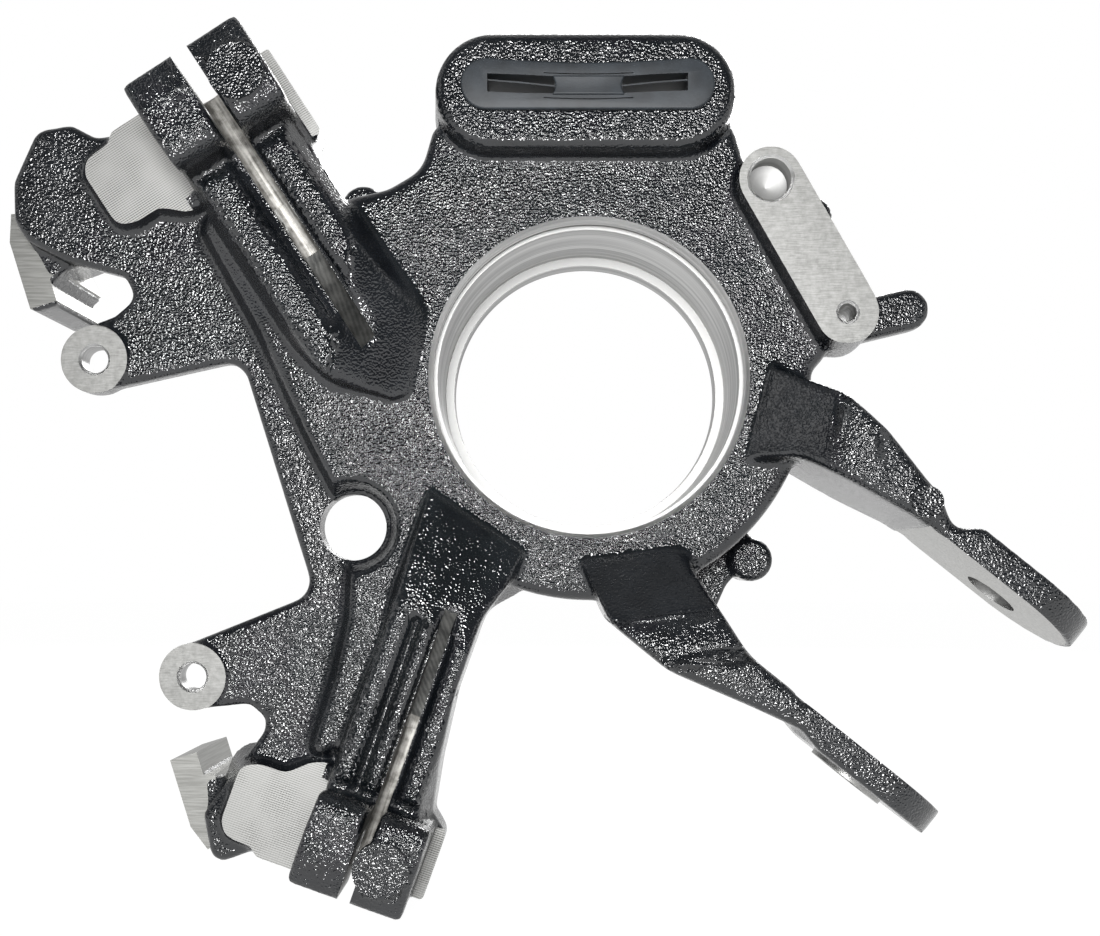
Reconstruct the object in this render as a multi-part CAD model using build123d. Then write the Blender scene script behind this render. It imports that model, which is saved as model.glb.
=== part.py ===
from build123d import *
import math
import os

# Steering knuckle: one iron casting with a pressed-bearing hub, two slotted clamp arms,
# a caliper plate with brake-pad rails, a fork for a link bush, a sensor pad and an oval
# boss that a rubber grommet closes.
#
# It is drawn lying on a bench: x and y as seen from the inboard side, z the height
# towards inboard, measured from the middle of the bearing seat on the bore axis.
# At the end it is stood upright, with the bore axis along y and z up.

# ---- heights (z) of the main faces, mm ----
hub_face = 27.5
hub_back = -28.5
plate_face = 21.0
plate_back = 11.5
pad_face = 25.0

# ---- bearing hub ----
bearing_d = 85.0
seat_length = 39.0
entry_d = 86.8
entry_chamfer = 1.1
lip_d = 80.0
ring_groove_d = 90.0
ring_groove_width = 2.2
flange_r = 61.8
flange_thickness = 16.0
flange_cove = 4.0
barrel_r = 54.0
barrel_draft = 3.0
edge_break = 1.6

# ---- caliper plate, in a frame that points from the bore axis to the caliper ----
caliper_angle = 197.2
guide_reach = 131.0
guide_half_pitch = 46.7
guide_boss_r = 9.5
guide_boss_face = 20.0
guide_hole_d = 7.5
guide_chamfer = 0.7
window_floor = 91.6
window_half_floor = 34.2
window_half_mouth = 37.4
window_corner_r = 6.0
plate_draft = 4.0
plate_edge_r = 1.6
rib_angles = (160.0, 187.0)
rib_thickness = 6.0
rib_reach = 86.0
rib_back = -16.0
rail_half_gap = 67.2
rail_offset = 0.7
rail_reach = 145.7
rail_depth = 7.4
rail_notch = 6.6
rail_front = 12.0
rail_back = -29.5

# ---- clearance hole beside the lower clamp arm ----
link_hole_at = (-66.0, -41.3)
link_hole_d = 18.7
link_recess_r = 13.2
web_slope = 22.0

# ---- clamp arms ----
upper_angle = 123.0
upper_reach = 125.5
upper_offset = 45.7
lower_angle = 250.3
lower_reach = 152.3
lower_offset = -13.7
clamp_bore_d = 16.0
clamp_neck_d = 13.6
clamp_axis = 25.5
arm_bottom = 9.5
ridge_top = 38.5
valley_floor = 34.2
ear_top = 59.5
ear_length = 22.7
ear_edge_r = 1.2
ear_crown_r = 9.0
ear_groove_r = 2.4
pinch_inset = 11.3
pinch_height = 42.0
pinch_d = 10.5
spot_r = 10.5
spot_depth = 0.5
saw_r = 72.0
mark_r = 7.2
mark_rise = 0.8
ledge_width = 3.4

# ---- oval boss with its grommet slot ----
boss_centre = (-1.2, 76.8)
boss_length = 81.5
boss_width = 30.9
boss_face = 36.5
boss_back = 8.0
slot_length = 62.0
slot_width = 9.0
grommet_lip_length = 69.0
grommet_lip_width = 14.5
grommet_lip = 2.2
grommet_clearance = 0.15
sleeve_depth = 12.0
slit_centres = (-19.3, 17.9)
slit_length = 17.2
slit_width = 5.1
slit_rise = 1.7
bridge_length = 20.0
bridge_width = 5.8

# ---- sensor pad ----
sensor_top = (48.8, 52.5)
sensor_bottom = (69.6, 16.3)
sensor_half_width = 8.6
sensor_face = 37.5
sensor_back = 14.0
sensor_draft = 2.0
sensor_bore_d = 11.3
sensor_bore_depth = 9.0
sensor_screw_d = 5.0
sensor_screw_depth = 16.0

# ---- splash-shield bosses on the outboard side ----
shield_bosses = ((-66.0, 54.0), (66.5, 51.0), (48.8, -50.3))
shield_boss_r = 6.4
shield_web = ((27.0, -42.0, 0), (43.5, -46.0, 0), (44.5, -54.5, 1.0), (41.5, -58.0, 5.0), (37.8, -66.5, 1.0), (24.0, -60.0, 0))
shield_boss_front = -2.0
shield_boss_back = -22.0
shield_hole_d = 5.0
cable_tab_tip = (93.5, 22.5)
cable_tab_r = 6.0

# ---- fork for the link bush ----
fork_angle = -38.5
fork_reach = 125.5
fork_gap = 57.1
fork_offset = -5.35
blade_thickness = 8.3
blade_half_width = 21.0
blade_mid = 26.5
fork_hole_d = 15.5
fork_hole_height = 21.5
fork_root_back = -6.0
blade_tip = 24.4
first_root_angle = -14.3
first_root_reach = 47.7
second_root_angle = -82.8
second_root_reach = 49.9
root_run = 24.0
root_sink = 0.8
root_step = 1.5
button_at = (91.3, 27.4)
button_r = 4.2
button_rise = 1.2
fork_face_start = 96.0


def turned(angle, solid):
    return Rot(0, 0, angle) * solid


def outline(corners):
    """Closed face from (x, y, corner radius) triples."""
    points = [(x, y) for x, y, _ in corners]
    radii = [r for _, _, r in corners]
    return make_face(FilletPolyline(points, radius=radii, close=True))


def slab(face, low, high):
    return extrude(Pos(0, 0, low) * face, high - low)


def stadium(start, end, radius):
    length = math.dist(start, end)
    angle = math.degrees(math.atan2(end[1] - start[1], end[0] - start[0]))
    middle = ((start[0] + end[0]) / 2, (start[1] + end[1]) / 2)
    return Pos(*middle) * Rot(0, 0, angle) * SlotCenterToCenter(length, 2 * radius)


def hole(x, y, diameter, low, high, chamfer_size=0.0):
    """Drill from z = high down to z = low, with a countersink at its mouth."""
    tool = Pos(x, y, low) * Cylinder(diameter / 2, high - low, align=(Align.CENTER, Align.CENTER, Align.MIN))
    if chamfer_size:
        cone = Cone(diameter / 2, diameter / 2 + chamfer_size, chamfer_size, align=(Align.CENTER, Align.CENTER, Align.MAX))
        tool += Pos(x, y, high) * cone
    return tool


def hub():
    """Drafted barrel behind the flange, flaring out to the flange's back."""
    shoulder = hub_face - flange_thickness
    back_r = barrel_r - (shoulder - hub_back) * math.tan(math.radians(barrel_draft))
    profile = [
        (0, hub_back, 0),
        (back_r - edge_break, hub_back, 0),
        (back_r, hub_back + edge_break, 0),
        (barrel_r, shoulder - 6.0, 0),
        (barrel_r + 2.0, shoulder - 2.2, 0),
        (flange_r - 2.0, shoulder + 2.0, 0),
        (0, shoulder + 2.0, 0),
    ]
    return revolve(Plane.XZ * outline(profile), Axis.Z)


def bearing_bore():
    seat = bearing_d / 2
    top = seat_length / 2
    entry = entry_d / 2
    groove = ring_groove_d / 2
    profile = Polyline(
        (0, hub_back - 1),
        (lip_d / 2 + 1.5, hub_back - 1),
        (lip_d / 2, hub_back + 1.5),
        (lip_d / 2, -top),
        (seat, -top),
        (seat, top),
        (groove, top),
        (groove, top + ring_groove_width),
        (entry, top + ring_groove_width),
        (entry, hub_face - entry_chamfer),
        (entry + 2 * entry_chamfer, hub_face + entry_chamfer),
        (0, hub_face + entry_chamfer),
        close=True,
    )
    return revolve(Plane.XZ * make_face(profile), Axis.Z)


def caliper_plate():
    """Plate that carries the caliper: two guide bosses, a window between them, two lobes."""
    mouth = window_half_mouth
    tip = guide_half_pitch + guide_boss_r
    corners = [
        (75.0, -92.0, 0),
        (95.0, -104.0, 0),
        (112.0, -106.2, 3.0),
        (117.6, -111.8, 2.5),
        (127.5, -113.1, 5.0),
        (138.2, -101.0, 5.0),
        (141.2, -90.5, 5.0),
        (139.4, -84.0, 4.0),
        (130.5, -75.2, 8.0),
        (116.0, -66.2, 2.5),
        (115.0, -59.8, 3.5),
        (122.0, -56.8, 0),
        (guide_reach, -tip, 0),
        (guide_reach, -mouth, 0),
        (window_floor, -window_half_floor, window_corner_r),
        (window_floor, window_half_floor, window_corner_r),
        (guide_reach, mouth, 0),
        (guide_reach, tip, 0),
        (118.0, 58.8, 3.0),
        (115.0, 64.0, 2.5),
        (116.4, 67.2, 2.5),
        (139.8, 84.2, 4.0),
        (141.4, 99.2, 4.0),
        (128.0, 98.6, 4.0),
        (117.0, 106.0, 2.0),
        (95.0, 103.5, 0),
        (45.0, 45.0, 0),
        (10.0, 0.0, 0),
        (45.0, -50.0, 0),
    ]
    front = Pos(0, 0, plate_face) * outline(corners)
    plate = extrude(front, -(plate_face - plate_back), taper=plate_draft)
    plate = fillet(plate.edges().group_by(Axis.Z)[-1], plate_edge_r)
    for side in (-1, 1):
        boss = Pos(guide_reach, side * guide_half_pitch) * Circle(guide_boss_r)
        plate += slab(boss, plate_back, guide_boss_face)
    return turned(caliper_angle, plate)


def back_ribs():
    """Three-cornered ribs that brace the plate against the barrel on the outboard side."""
    inner = barrel_r - 8.0
    corners = [
        (inner, plate_back + 1.0, 0),
        (inner, rib_back - 4.0, 0),
        (inner + 6.0, rib_back, 4.0),
        (rib_reach - 6.0, plate_back - 3.0, 4.0),
        (rib_reach, plate_back + 1.0, 0),
    ]
    ribs = Part()
    for angle in rib_angles:
        ribs += turned(angle, extrude(Plane.XZ * outline(corners), rib_thickness / 2, both=True))
    return ribs


def guide_cuts():
    """Milled guide-boss faces and their holes."""
    cuts = Part()
    for side in (-1, 1):
        at = side * guide_half_pitch
        face = Pos(guide_reach, at) * Circle(guide_boss_r)
        cuts += slab(face, guide_boss_face, plate_face + 5)
        cuts += hole(guide_reach, at, guide_hole_d, plate_back - 1, guide_boss_face, guide_chamfer)
    return turned(caliper_angle, cuts)


def pad_rails():
    """Rails that the brake pads slide on, running outboard behind the plate's lobes."""
    inner = rail_reach - rail_depth
    near = rail_half_gap
    corners = [
        (rail_reach, near, 0.6),
        (inner, near, 0.6),
        (inner, near + rail_notch, 0),
        (inner - 3.0, near + rail_notch + 1.0, 0.5),
        (inner - 1.5, near + 17.0, 3.0),
        (inner + 1.5, near + 26.0, 1.0),
        (rail_reach - 2.6, near + 27.0, 0.8),
        (rail_reach, near + 19.5, 2.0),
    ]
    rail = slab(outline(corners), rail_back, rail_front)
    web_corners = [
        (inner - 27.0, near + 10.0, 4.0),
        (inner - 1.0, near + 8.2, 2.0),
        (inner + 1.5, near + 24.0, 2.0),
        (inner - 14.0, near + 27.0, 5.0),
    ]
    web = extrude(Pos(0, 0, plate_back + 1) * outline(web_corners), -28.0, taper=6)
    rail += web
    return turned(caliper_angle, Pos(0, rail_offset, 0) * (rail + mirror(rail, Plane.XZ)))


def hub_web():
    """Thicker ground between hub, clamp arms and caliper plate, with a sloped edge."""
    corners = [
        (-99.0, 52.0, 0),
        (-106.5, 41.5, 2.0),
        (-91.5, 14.5, 20.0),
        (-76.5, -18.0, 20.0),
        (-70.5, -29.5, 0),
        (-65.5, -54.0, 1.5),
        (-66.2, -67.0, 20.0),
        (-70.0, -83.0, 25.0),
        (-76.9, -104.9, 1.5),
        (-68.0, -101.0, 0),
        (-36.0, -62.0, 8.0),
        (0.0, -42.0, 0),
        (-30.0, 30.0, 0),
        (-58.0, 44.0, 6.0),
    ]
    face = outline(corners) - Pos(*link_hole_at) * Circle(link_recess_r)
    return extrude(Pos(0, 0, hub_face) * face, -(hub_face - plate_back), taper=-web_slope)


def flange():
    """Round flange of the hub with the shoulders that carry the oval boss and sensor pad."""
    corners = [
        (-30.0, 0.0, 0),
        (-56.0, 10.0, 0),
        (-74.0, 40.0, 0),
        (-67.0, 50.0, 4.0),
        (-56.0, 52.5, 5.0),
        (-46.5, 58.0, 10.0),
        (-43.0, 70.0, 3.0),
        (40.0, 70.0, 3.0),
        (43.5, 58.0, 3.0),
        (52.0, 55.0, 3.0),
        (68.0, 30.0, 3.0),
        (66.0, 6.0, 6.0),
        (50.0, -10.0, 0),
    ]
    face = outline(corners) + Circle(flange_r)
    joints = [v for v in face.vertices() if abs(math.hypot(v.X, v.Y) - flange_r) < 0.01]
    block = slab(fillet(joints, flange_cove), hub_face - flange_thickness, hub_face)
    block = fillet(block.edges().group_by(Axis.Z)[-1], 2.8)
    return chamfer(block.edges().group_by(Axis.Z)[0], edge_break)


def oval_boss():
    half = boss_length / 2 - boss_width / 2
    start = (boss_centre[0] - half, boss_centre[1])
    end = (boss_centre[0] + half, boss_centre[1])
    boss = extrude(Pos(0, 0, boss_face) * stadium(start, end, boss_width / 2), -(boss_face - boss_back), taper=-4)
    return chamfer(boss.edges().group_by(Axis.Z)[-1], edge_break)


def boss_slot(length, width, low, high):
    return slab(Pos(*boss_centre) * SlotOverall(length, width), low, high)


def sensor_pad():
    face = stadium(sensor_top, sensor_bottom, sensor_half_width)
    pad = extrude(Pos(0, 0, sensor_face) * face, -(sensor_face - sensor_back), taper=-sensor_draft)
    return pad


def sensor_cuts():
    depth = sensor_face - sensor_bore_depth
    bore = hole(*sensor_top, sensor_bore_d, depth, sensor_face, 0.8)
    tip = Cone(0, sensor_bore_d / 2, 2.4, align=(Align.CENTER, Align.CENTER, Align.MAX))
    bore += Pos(sensor_top[0], sensor_top[1], depth) * tip
    screw = hole(*sensor_bottom, sensor_screw_d, sensor_face - sensor_screw_depth, sensor_face, 0.7)
    return bore + screw


def shield_mounts():
    bosses = Part()
    for x, y in shield_bosses:
        reach = math.hypot(x, y)
        inner = (x * 45 / reach, y * 45 / reach)
        rib = slab(stadium(inner, (x, y), shield_boss_r - 1.5), shield_boss_back + 2, shield_boss_front - 2)
        boss = slab(Pos(x, y) * Circle(shield_boss_r), shield_boss_back, shield_boss_front)
        bosses += chamfer(boss.edges().group_by(Axis.Z)[-1], 1.0) + rib
    root = (cable_tab_tip[0] * 0.5, cable_tab_tip[1] * 0.5)
    tab = slab(stadium(root, cable_tab_tip, cable_tab_r), -2.0, 6.0)
    bosses += slab(outline(shield_web), shield_boss_back + 2, shield_boss_front - 2)
    return bosses + chamfer(tab.edges().group_by(Axis.Z)[-1], 1.2)


def shield_cuts():
    cuts = Part()
    for x, y in shield_bosses:
        cuts += Pos(x, y, shield_boss_back - 1) * Cylinder(shield_hole_d / 2, 15.0, align=(Align.CENTER, Align.CENTER, Align.MIN))
    return cuts


def section(points, start, end):
    """Extrude an outline of (sideways, height, radius) corners along x from start to end."""
    face = Plane.YZ * outline(points)
    return extrude(Pos(start, 0, 0) * face, end - start)


def upper_place():
    return Rot(0, 0, upper_angle) * Pos(upper_reach, upper_offset, 0)


def lower_place():
    return Rot(0, 0, lower_angle) * Pos(lower_reach, lower_offset, 0)


def handed(arm, solid):
    """The lower arm is the upper one's mirror image: its milled pad lies at -y."""
    return mirror(solid, Plane.XZ) if arm["mirrored"] else solid


def root_slope(angle, reach, run, top, crest_r, crest_run):
    """Tool that slopes an arm's top down towards the hub, where it ends in a short step."""
    floor = hub_face - root_sink
    rise = [
        (reach - 60, floor, 0),
        (reach - root_sink / 2, floor, 0),
        (reach + root_step / 2, hub_face + root_step, 0),
        (reach + run, top, crest_r),
        (reach + run + crest_run, top, 0),
        (reach + run + crest_run, ear_top + 20, 0),
        (reach - 60, ear_top + 20, 0),
    ]
    return turned(angle, extrude(Plane.XZ * outline(rise), 80, both=True))


def arm_ears(half_ear):
    """Pair of ears for the pinch bolt, still in one block; the slot parts them later."""
    crown = [
        (0, clamp_axis, 0),
        (0, ear_top - 1.8, 0.8),
        (-9.0, ear_top + 0.3, 20.0),
        (-ear_length + 1.0, ear_top - 0.8, ear_crown_r),
        (-ear_length, 45.0, 4.0),
        (-ear_length, clamp_axis, 0),
    ]
    block = extrude(Plane.XZ * outline(crown), half_ear, both=True)
    sides = [face for face in block.faces() if abs(face.normal_at().Y) > 0.9]
    rim = [edge for face in sides for edge in face.edges() if edge.center().Z > ear_top - 10]
    return fillet(rim, ear_edge_r)


def milled_pad():
    """Raised ground that the pinch-bolt tool leaves beside the +y ear, cast sides drafted."""
    corners = [
        (4.2, 10.0, 0),
        (4.2, 28.6, 0.8),
        (1.8, 30.6, 1.5),
        (1.6, 37.5, 3.0),
        (-1.5, 41.0, 3.0),
        (-18.6, 41.0, 3.5),
        (-20.4, 36.0, 6.0),
        (-20.4, 29.0, 4.0),
        (-25.6, 23.0, 4.0),
        (-27.0, 10.0, 0),
    ]
    ground = extrude(Pos(0, 0, pad_face) * outline(corners), -(pad_face - plate_back), taper=-web_slope)
    end = corners[0][0]
    return ground & Box(60, 60, 80, align=(Align.MAX, Align.MIN, Align.CENTER)).moved(Location((end, 0, 0)))


def ledge(half_ear, length):
    """Boss under the -y ear, with the milled ledge that the spot face leaves."""
    corners = [
        (0, -6.0, 0),
        (0, -half_ear - ledge_width, 2.0),
        (-length, -half_ear - ledge_width, 3.0),
        (-length - 5.0, -half_ear + 2.5, 2.0),
        (-length - 5.0, -6.0, 0),
    ]
    return slab(outline(corners), clamp_axis - 12, pad_face)


def arm_bridge(arm):
    """Ground that closes the arm's valleys where it runs into its root."""
    low, high = arm["bridge"]
    foot = valley_floor - 6.0
    bar = Pos(-arm["length"], low, foot) * Box(arm["length"] - ear_length, high - low, ridge_top - foot, align=(Align.MIN,) * 3)
    bar = arm["place"] * handed(arm, bar & slab(outline(arm["plan"]), foot, ridge_top))
    near = Box(200, 200, 200, align=(Align.MAX, Align.CENTER, Align.CENTER))
    return bar & turned(arm["root_angle"], Pos(arm["root_reach"] + arm["root_run"] - root_step, 0, 0) * near)


def clamp_arm(arm):
    """Ridged arm with its ears, running down to the hub face at its inner end."""
    length = arm["length"]
    block = slab(outline(arm["plan"]), arm_bottom, ear_top)
    body = section(arm["crest"], -length, -ear_length / 2) & block
    groove = Rot(90, 0, 0) * Cylinder(ear_groove_r, 80)
    body -= Pos(-ear_length - ear_groove_r + 0.8, 0, ridge_top + 0.4) * groove
    body += arm_ears(arm["half_ear"])
    mark = Pos(*arm["mark_at"]) * Circle(mark_r)
    body += slab(mark, ear_top - 4, ear_top + mark_rise)
    body = arm["place"] * handed(arm, body) + arm_bridge(arm)
    body -= root_slope(arm["root_angle"], arm["root_reach"], arm["root_run"], ridge_top, 12.0, 8.0)
    grounds = milled_pad() + ledge(arm["half_ear"], arm["ledge_length"])
    return body + arm["place"] * handed(arm, grounds)


def clamp_cuts(arm):
    """Bore for the ball pin, the saw slot with its run-out, and the pinch-bolt hole."""
    half_ear = arm["half_ear"]
    depth = arm["bore_depth"]
    along = Rot(0, -90, 0)
    bottom = (Align.CENTER, Align.CENTER, Align.MIN)
    bore = along * Cylinder(clamp_bore_d / 2, depth, align=bottom)
    bore += along * Cylinder(clamp_neck_d / 2, arm["neck_end"], align=bottom)
    bore += along * Cone(clamp_bore_d / 2 + 1.0, clamp_bore_d / 2, 1.0, align=bottom)
    bore = Pos(0, 0, clamp_axis) * bore
    floor = clamp_axis - clamp_bore_d / 2 + 1.5
    rise = arm["kerf_exit"] - floor
    saw_x = -arm["kerf_end"] + math.sqrt(saw_r**2 - (saw_r - rise) ** 2)
    width = arm["slot_width"]
    saw = Pos(saw_x, 0, floor + saw_r) * Rot(90, 0, 0) * Cylinder(saw_r, width)
    straight = Box(-saw_x, width, 80, align=(Align.MIN, Align.CENTER, Align.MIN))
    slot = Pos(saw_x, 0, floor) * straight + saw
    pinch_at = Pos(-pinch_inset, 0, pinch_height) * Rot(90, 0, 0)
    pinch = pinch_at * Cylinder(pinch_d / 2, 2 * half_ear + 4)
    for side in (-1, 1):
        spot = Cylinder(spot_r, 4, align=(Align.CENTER, Align.CENTER, Align.MIN if side > 0 else Align.MAX))
        pinch += pinch_at * Pos(0, 0, side * (half_ear - spot_depth)) * spot
    return arm["place"] * handed(arm, bore + slot + pinch)


def fork_arm(front, root_angle, root_reach):
    """Fork arm: its front outline, crossed with the side outline that rounds the blade."""
    tip = fork_reach + blade_tip
    low = blade_mid - blade_half_width
    high = blade_mid + blade_half_width
    side = [
        (25.0, fork_root_back, 0),
        (78.0, fork_root_back, 15.0),
        (98.0, low, 15.0),
        (tip, low, blade_half_width - 0.1),
        (tip, high, blade_half_width - 0.1),
        (25.0, high, 0),
    ]
    arm = slab(outline(front), fork_root_back, high) & extrude(Plane.XZ * outline(side), 80, both=True)
    arm = turned(fork_angle, arm)
    return arm - root_slope(root_angle, root_reach, root_run, high, 26.0, 24.0)


def fork():
    inner_right = fork_offset + fork_gap / 2
    inner_left = fork_offset - fork_gap / 2
    outer_right = inner_right + blade_thickness
    outer_left = inner_left - blade_thickness + spot_depth
    tip = fork_reach + blade_tip + 1
    first = [
        (30.0, 6.0, 0),
        (47.0, 8.0, 4.0),
        (58.5, 17.5, 10.0),
        (92.0, inner_right - 0.6, 0),
        (tip, inner_right - 0.6, 0),
        (tip, outer_right, 0),
        (107.5, outer_right, 3.0),
        (101.5, outer_right - 5.0, 4.0),
        (94.0, outer_right - 0.4, 4.0),
        (72.0, outer_right + 4.8, 15.0),
        (57.0, outer_right + 6.4, 12.0),
        (30.0, outer_right + 1.0, 0),
    ]
    second = [
        (25.0, inner_left + 12.0, 0),
        (50.0, inner_left + 12.0, 5.0),
        (80.0, inner_left + 0.6, 20.0),
        (tip, inner_left + 0.6, 0),
        (tip, outer_left, 0),
        (109.5, outer_left, 2.0),
        (103.0, outer_left + 1.4, 3.0),
        (89.0, outer_left - 2.0, 10.0),
        (66.0, outer_left - 8.3, 15.0),
        (46.0, outer_left - 8.0, 8.0),
        (25.0, outer_left + 3.0, 0),
    ]
    arms = fork_arm(first, first_root_angle, first_root_reach)
    arms += fork_arm(second, second_root_angle, second_root_reach)
    button = slab(Pos(*button_at) * Circle(button_r), ridge_top, blade_mid + blade_half_width + button_rise)
    return arms + turned(fork_angle, button)


def fork_cuts():
    """Milled faces inside the fork and the bolt hole across both blades."""
    gap = Box(80, fork_gap, 80, align=(Align.MIN, Align.CENTER, Align.CENTER))
    gap = Pos(fork_face_start, fork_offset, blade_mid) * gap
    bolt = Pos(fork_reach, fork_offset, fork_hole_height) * Rot(90, 0, 0)
    bolt = bolt * Cylinder(fork_hole_d / 2, fork_gap + 4 * blade_thickness)
    return turned(fork_angle, gap + bolt)


def knuckle_casting():
    solid = hub() + flange() + caliper_plate() + hub_web() + back_ribs()
    for arm in (upper_arm, lower_arm):
        solid += clamp_arm(arm)
    solid += fork()
    solid += oval_boss() + sensor_pad()
    solid += shield_mounts() + pad_rails()
    solid -= bearing_bore()
    solid -= guide_cuts()
    solid -= sensor_cuts() + shield_cuts()
    for arm in (upper_arm, lower_arm):
        solid -= clamp_cuts(arm)
    solid -= fork_cuts()
    solid -= hole(*link_hole_at, link_hole_d, plate_back - 1, hub_face, 0)
    solid -= boss_slot(slot_length, slot_width, boss_back - 1, boss_face + 1)
    return solid


def slot_grommet():
    """Rubber grommet: a lip on the boss face, a sleeve in the slot, two slits."""
    lip = slab(Pos(*boss_centre) * SlotOverall(grommet_lip_length, grommet_lip_width), boss_face, boss_face + grommet_lip)
    lip = chamfer(lip.edges().group_by(Axis.Z)[-1], 0.6)
    gap = 2 * grommet_clearance
    sleeve = boss_slot(slot_length - gap, slot_width - gap, boss_face - sleeve_depth, boss_face)
    body = lip + sleeve
    for x in slit_centres:
        slit = Pos(x, boss_centre[1] + slit_rise) * Rectangle(slit_length, slit_width)
        body -= slab(slit, boss_face - sleeve_depth - 1, boss_face + grommet_lip + 1)
    bridge = Pos(boss_centre[0] + 0.6, boss_centre[1] + slit_rise) * Rectangle(bridge_length, bridge_width)
    body += slab(bridge, boss_face + grommet_lip - 0.5, boss_face + grommet_lip + 0.8)
    return body


upper_arm = {
    "place": upper_place(),
    "mirrored": False,
    "length": 104.0,
    "plan": [
        (0.0, 17.5, 0),
        (-22.0, 17.5, 6.0),
        (-48.0, 19.2, 0),
        (-66.0, 19.8, 14.0),
        (-88.0, 14.8, 14.0),
        (-101.5, 2.8, 3.0),
        (-102.5, -6.0, 4.0),
        (-82.0, -24.0, 4.0),
        (-70.0, -20.0, 12.0),
        (-45.0, -15.3, 30.0),
        (-20.0, -17.6, 0),
        (0.0, -17.6, 0),
    ],
    "crest": [
        (24.0, 14.0, 6.0),
        (19.0, 27.0, 4.0),
        (15.4, ridge_top, 2.4),
        (6.6, ridge_top, 1.4),
        (4.0, valley_floor, 1.0),
        (-2.8, valley_floor, 0.6),
        (-4.0, ridge_top, 1.4),
        (-11.8, ridge_top, 2.4),
        (-15.4, 31.0, 5.0),
        (-26.0, 14.0, 5.0),
        (-14.0, arm_bottom, 10.0),
        (14.0, arm_bottom, 10.0),
    ],
    "bridge": (-8.0, 10.0),
    "root_angle": 169.6,
    "root_reach": 47.7,
    "root_run": 23.0,
    "half_ear": 17.4,
    "ledge_length": 27.0,
    "mark_at": (-13.3, -9.5),
    "bore_depth": 37.0,
    "neck_end": 53.5,
    "kerf_end": 87.0,
    "kerf_exit": 35.5,
    "slot_width": 5.0,
}

lower_arm = {
    "place": lower_place(),
    "mirrored": True,
    "length": 112.0,
    "plan": [
        (0.0, 15.5, 0),
        (-22.0, 16.2, 0),
        (-50.0, 16.3, 20.0),
        (-66.0, 15.6, 20.0),
        (-88.0, 18.4, 20.0),
        (-110.0, 17.0, 2.0),
        (-101.5, -15.6, 2.0),
        (-80.0, -8.6, 14.0),
        (-58.0, -8.6, 20.0),
        (-38.0, -11.0, 12.0),
        (-22.0, -14.0, 0),
        (0.0, -15.6, 0),
    ],
    "crest": [
        (22.0, 12.0, 4.0),
        (17.2, 29.0, 4.0),
        (15.0, ridge_top, 2.0),
        (9.8, ridge_top, 1.4),
        (8.4, 35.0, 0.6),
        (7.2, 35.0, 0.6),
        (6.0, ridge_top, 1.0),
        (2.4, ridge_top, 0.6),
        (1.9, valley_floor, 0),
        (-2.4, valley_floor, 0.6),
        (-4.0, ridge_top, 1.4),
        (-9.6, ridge_top, 1.8),
        (-12.0, 31.0, 4.0),
        (-20.0, 12.0, 4.0),
        (-12.0, arm_bottom, 6.0),
        (14.0, arm_bottom, 6.0),
    ],
    "bridge": (-7.0, 12.0),
    "root_angle": 236.3,
    "root_reach": 50.0,
    "root_run": 32.0,
    "half_ear": 15.6,
    "ledge_length": 20.0,
    "mark_at": (-11.3, -6.4),
    "bore_depth": 43.3,
    "neck_end": 47.4,
    "kerf_end": 79.5,
    "kerf_exit": 36.5,
    "slot_width": 3.5,
}

os.makedirs("parts", exist_ok=True)
stand_up = Rot(90, 0, 0)
for name, piece in (("knuckle_casting", knuckle_casting()), ("slot_grommet", slot_grommet())):
    piece = stand_up * piece
    print(name, round(piece.volume / 1000, 1), "cm3,", len(piece.solids()), "solid, valid:", piece.is_valid)
    export_step(piece, f"parts/{name}.step")
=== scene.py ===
import bpy
import math
from mathutils import Matrix, Vector


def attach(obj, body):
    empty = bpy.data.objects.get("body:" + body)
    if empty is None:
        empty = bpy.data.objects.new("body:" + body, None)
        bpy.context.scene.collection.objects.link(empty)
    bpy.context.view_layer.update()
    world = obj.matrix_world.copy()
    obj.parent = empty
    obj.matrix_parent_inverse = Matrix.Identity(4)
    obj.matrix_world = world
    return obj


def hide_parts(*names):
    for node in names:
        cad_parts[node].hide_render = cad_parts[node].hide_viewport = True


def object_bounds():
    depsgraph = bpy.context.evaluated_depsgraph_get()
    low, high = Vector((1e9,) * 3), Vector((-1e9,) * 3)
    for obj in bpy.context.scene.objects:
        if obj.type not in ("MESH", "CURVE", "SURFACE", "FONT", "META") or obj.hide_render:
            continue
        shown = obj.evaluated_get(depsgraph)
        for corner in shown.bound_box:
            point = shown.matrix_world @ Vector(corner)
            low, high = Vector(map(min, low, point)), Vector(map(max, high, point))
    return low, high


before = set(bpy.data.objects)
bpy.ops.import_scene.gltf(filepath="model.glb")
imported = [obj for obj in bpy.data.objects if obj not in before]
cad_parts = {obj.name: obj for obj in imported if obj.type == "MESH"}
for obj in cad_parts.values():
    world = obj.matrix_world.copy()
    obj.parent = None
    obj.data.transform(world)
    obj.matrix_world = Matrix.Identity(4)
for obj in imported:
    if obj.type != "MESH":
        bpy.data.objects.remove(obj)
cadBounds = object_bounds()
mm = 0.001
print("frame loaded")


# small helpers for picking and finishing pieces

def deselectAll():
    if bpy.context.object and bpy.context.object.mode != "OBJECT":
        bpy.ops.object.mode_set(mode="OBJECT")
    bpy.ops.object.select_all(action="DESELECT")


def pick(*pieces):
    deselectAll()
    for piece in pieces:
        piece.select_set(True)
    bpy.context.view_layer.objects.active = pieces[0]


def editing(piece, mode="VERT"):
    pick(piece)
    bpy.ops.object.mode_set(mode="EDIT")
    bpy.ops.mesh.select_mode(type=mode)


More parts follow.
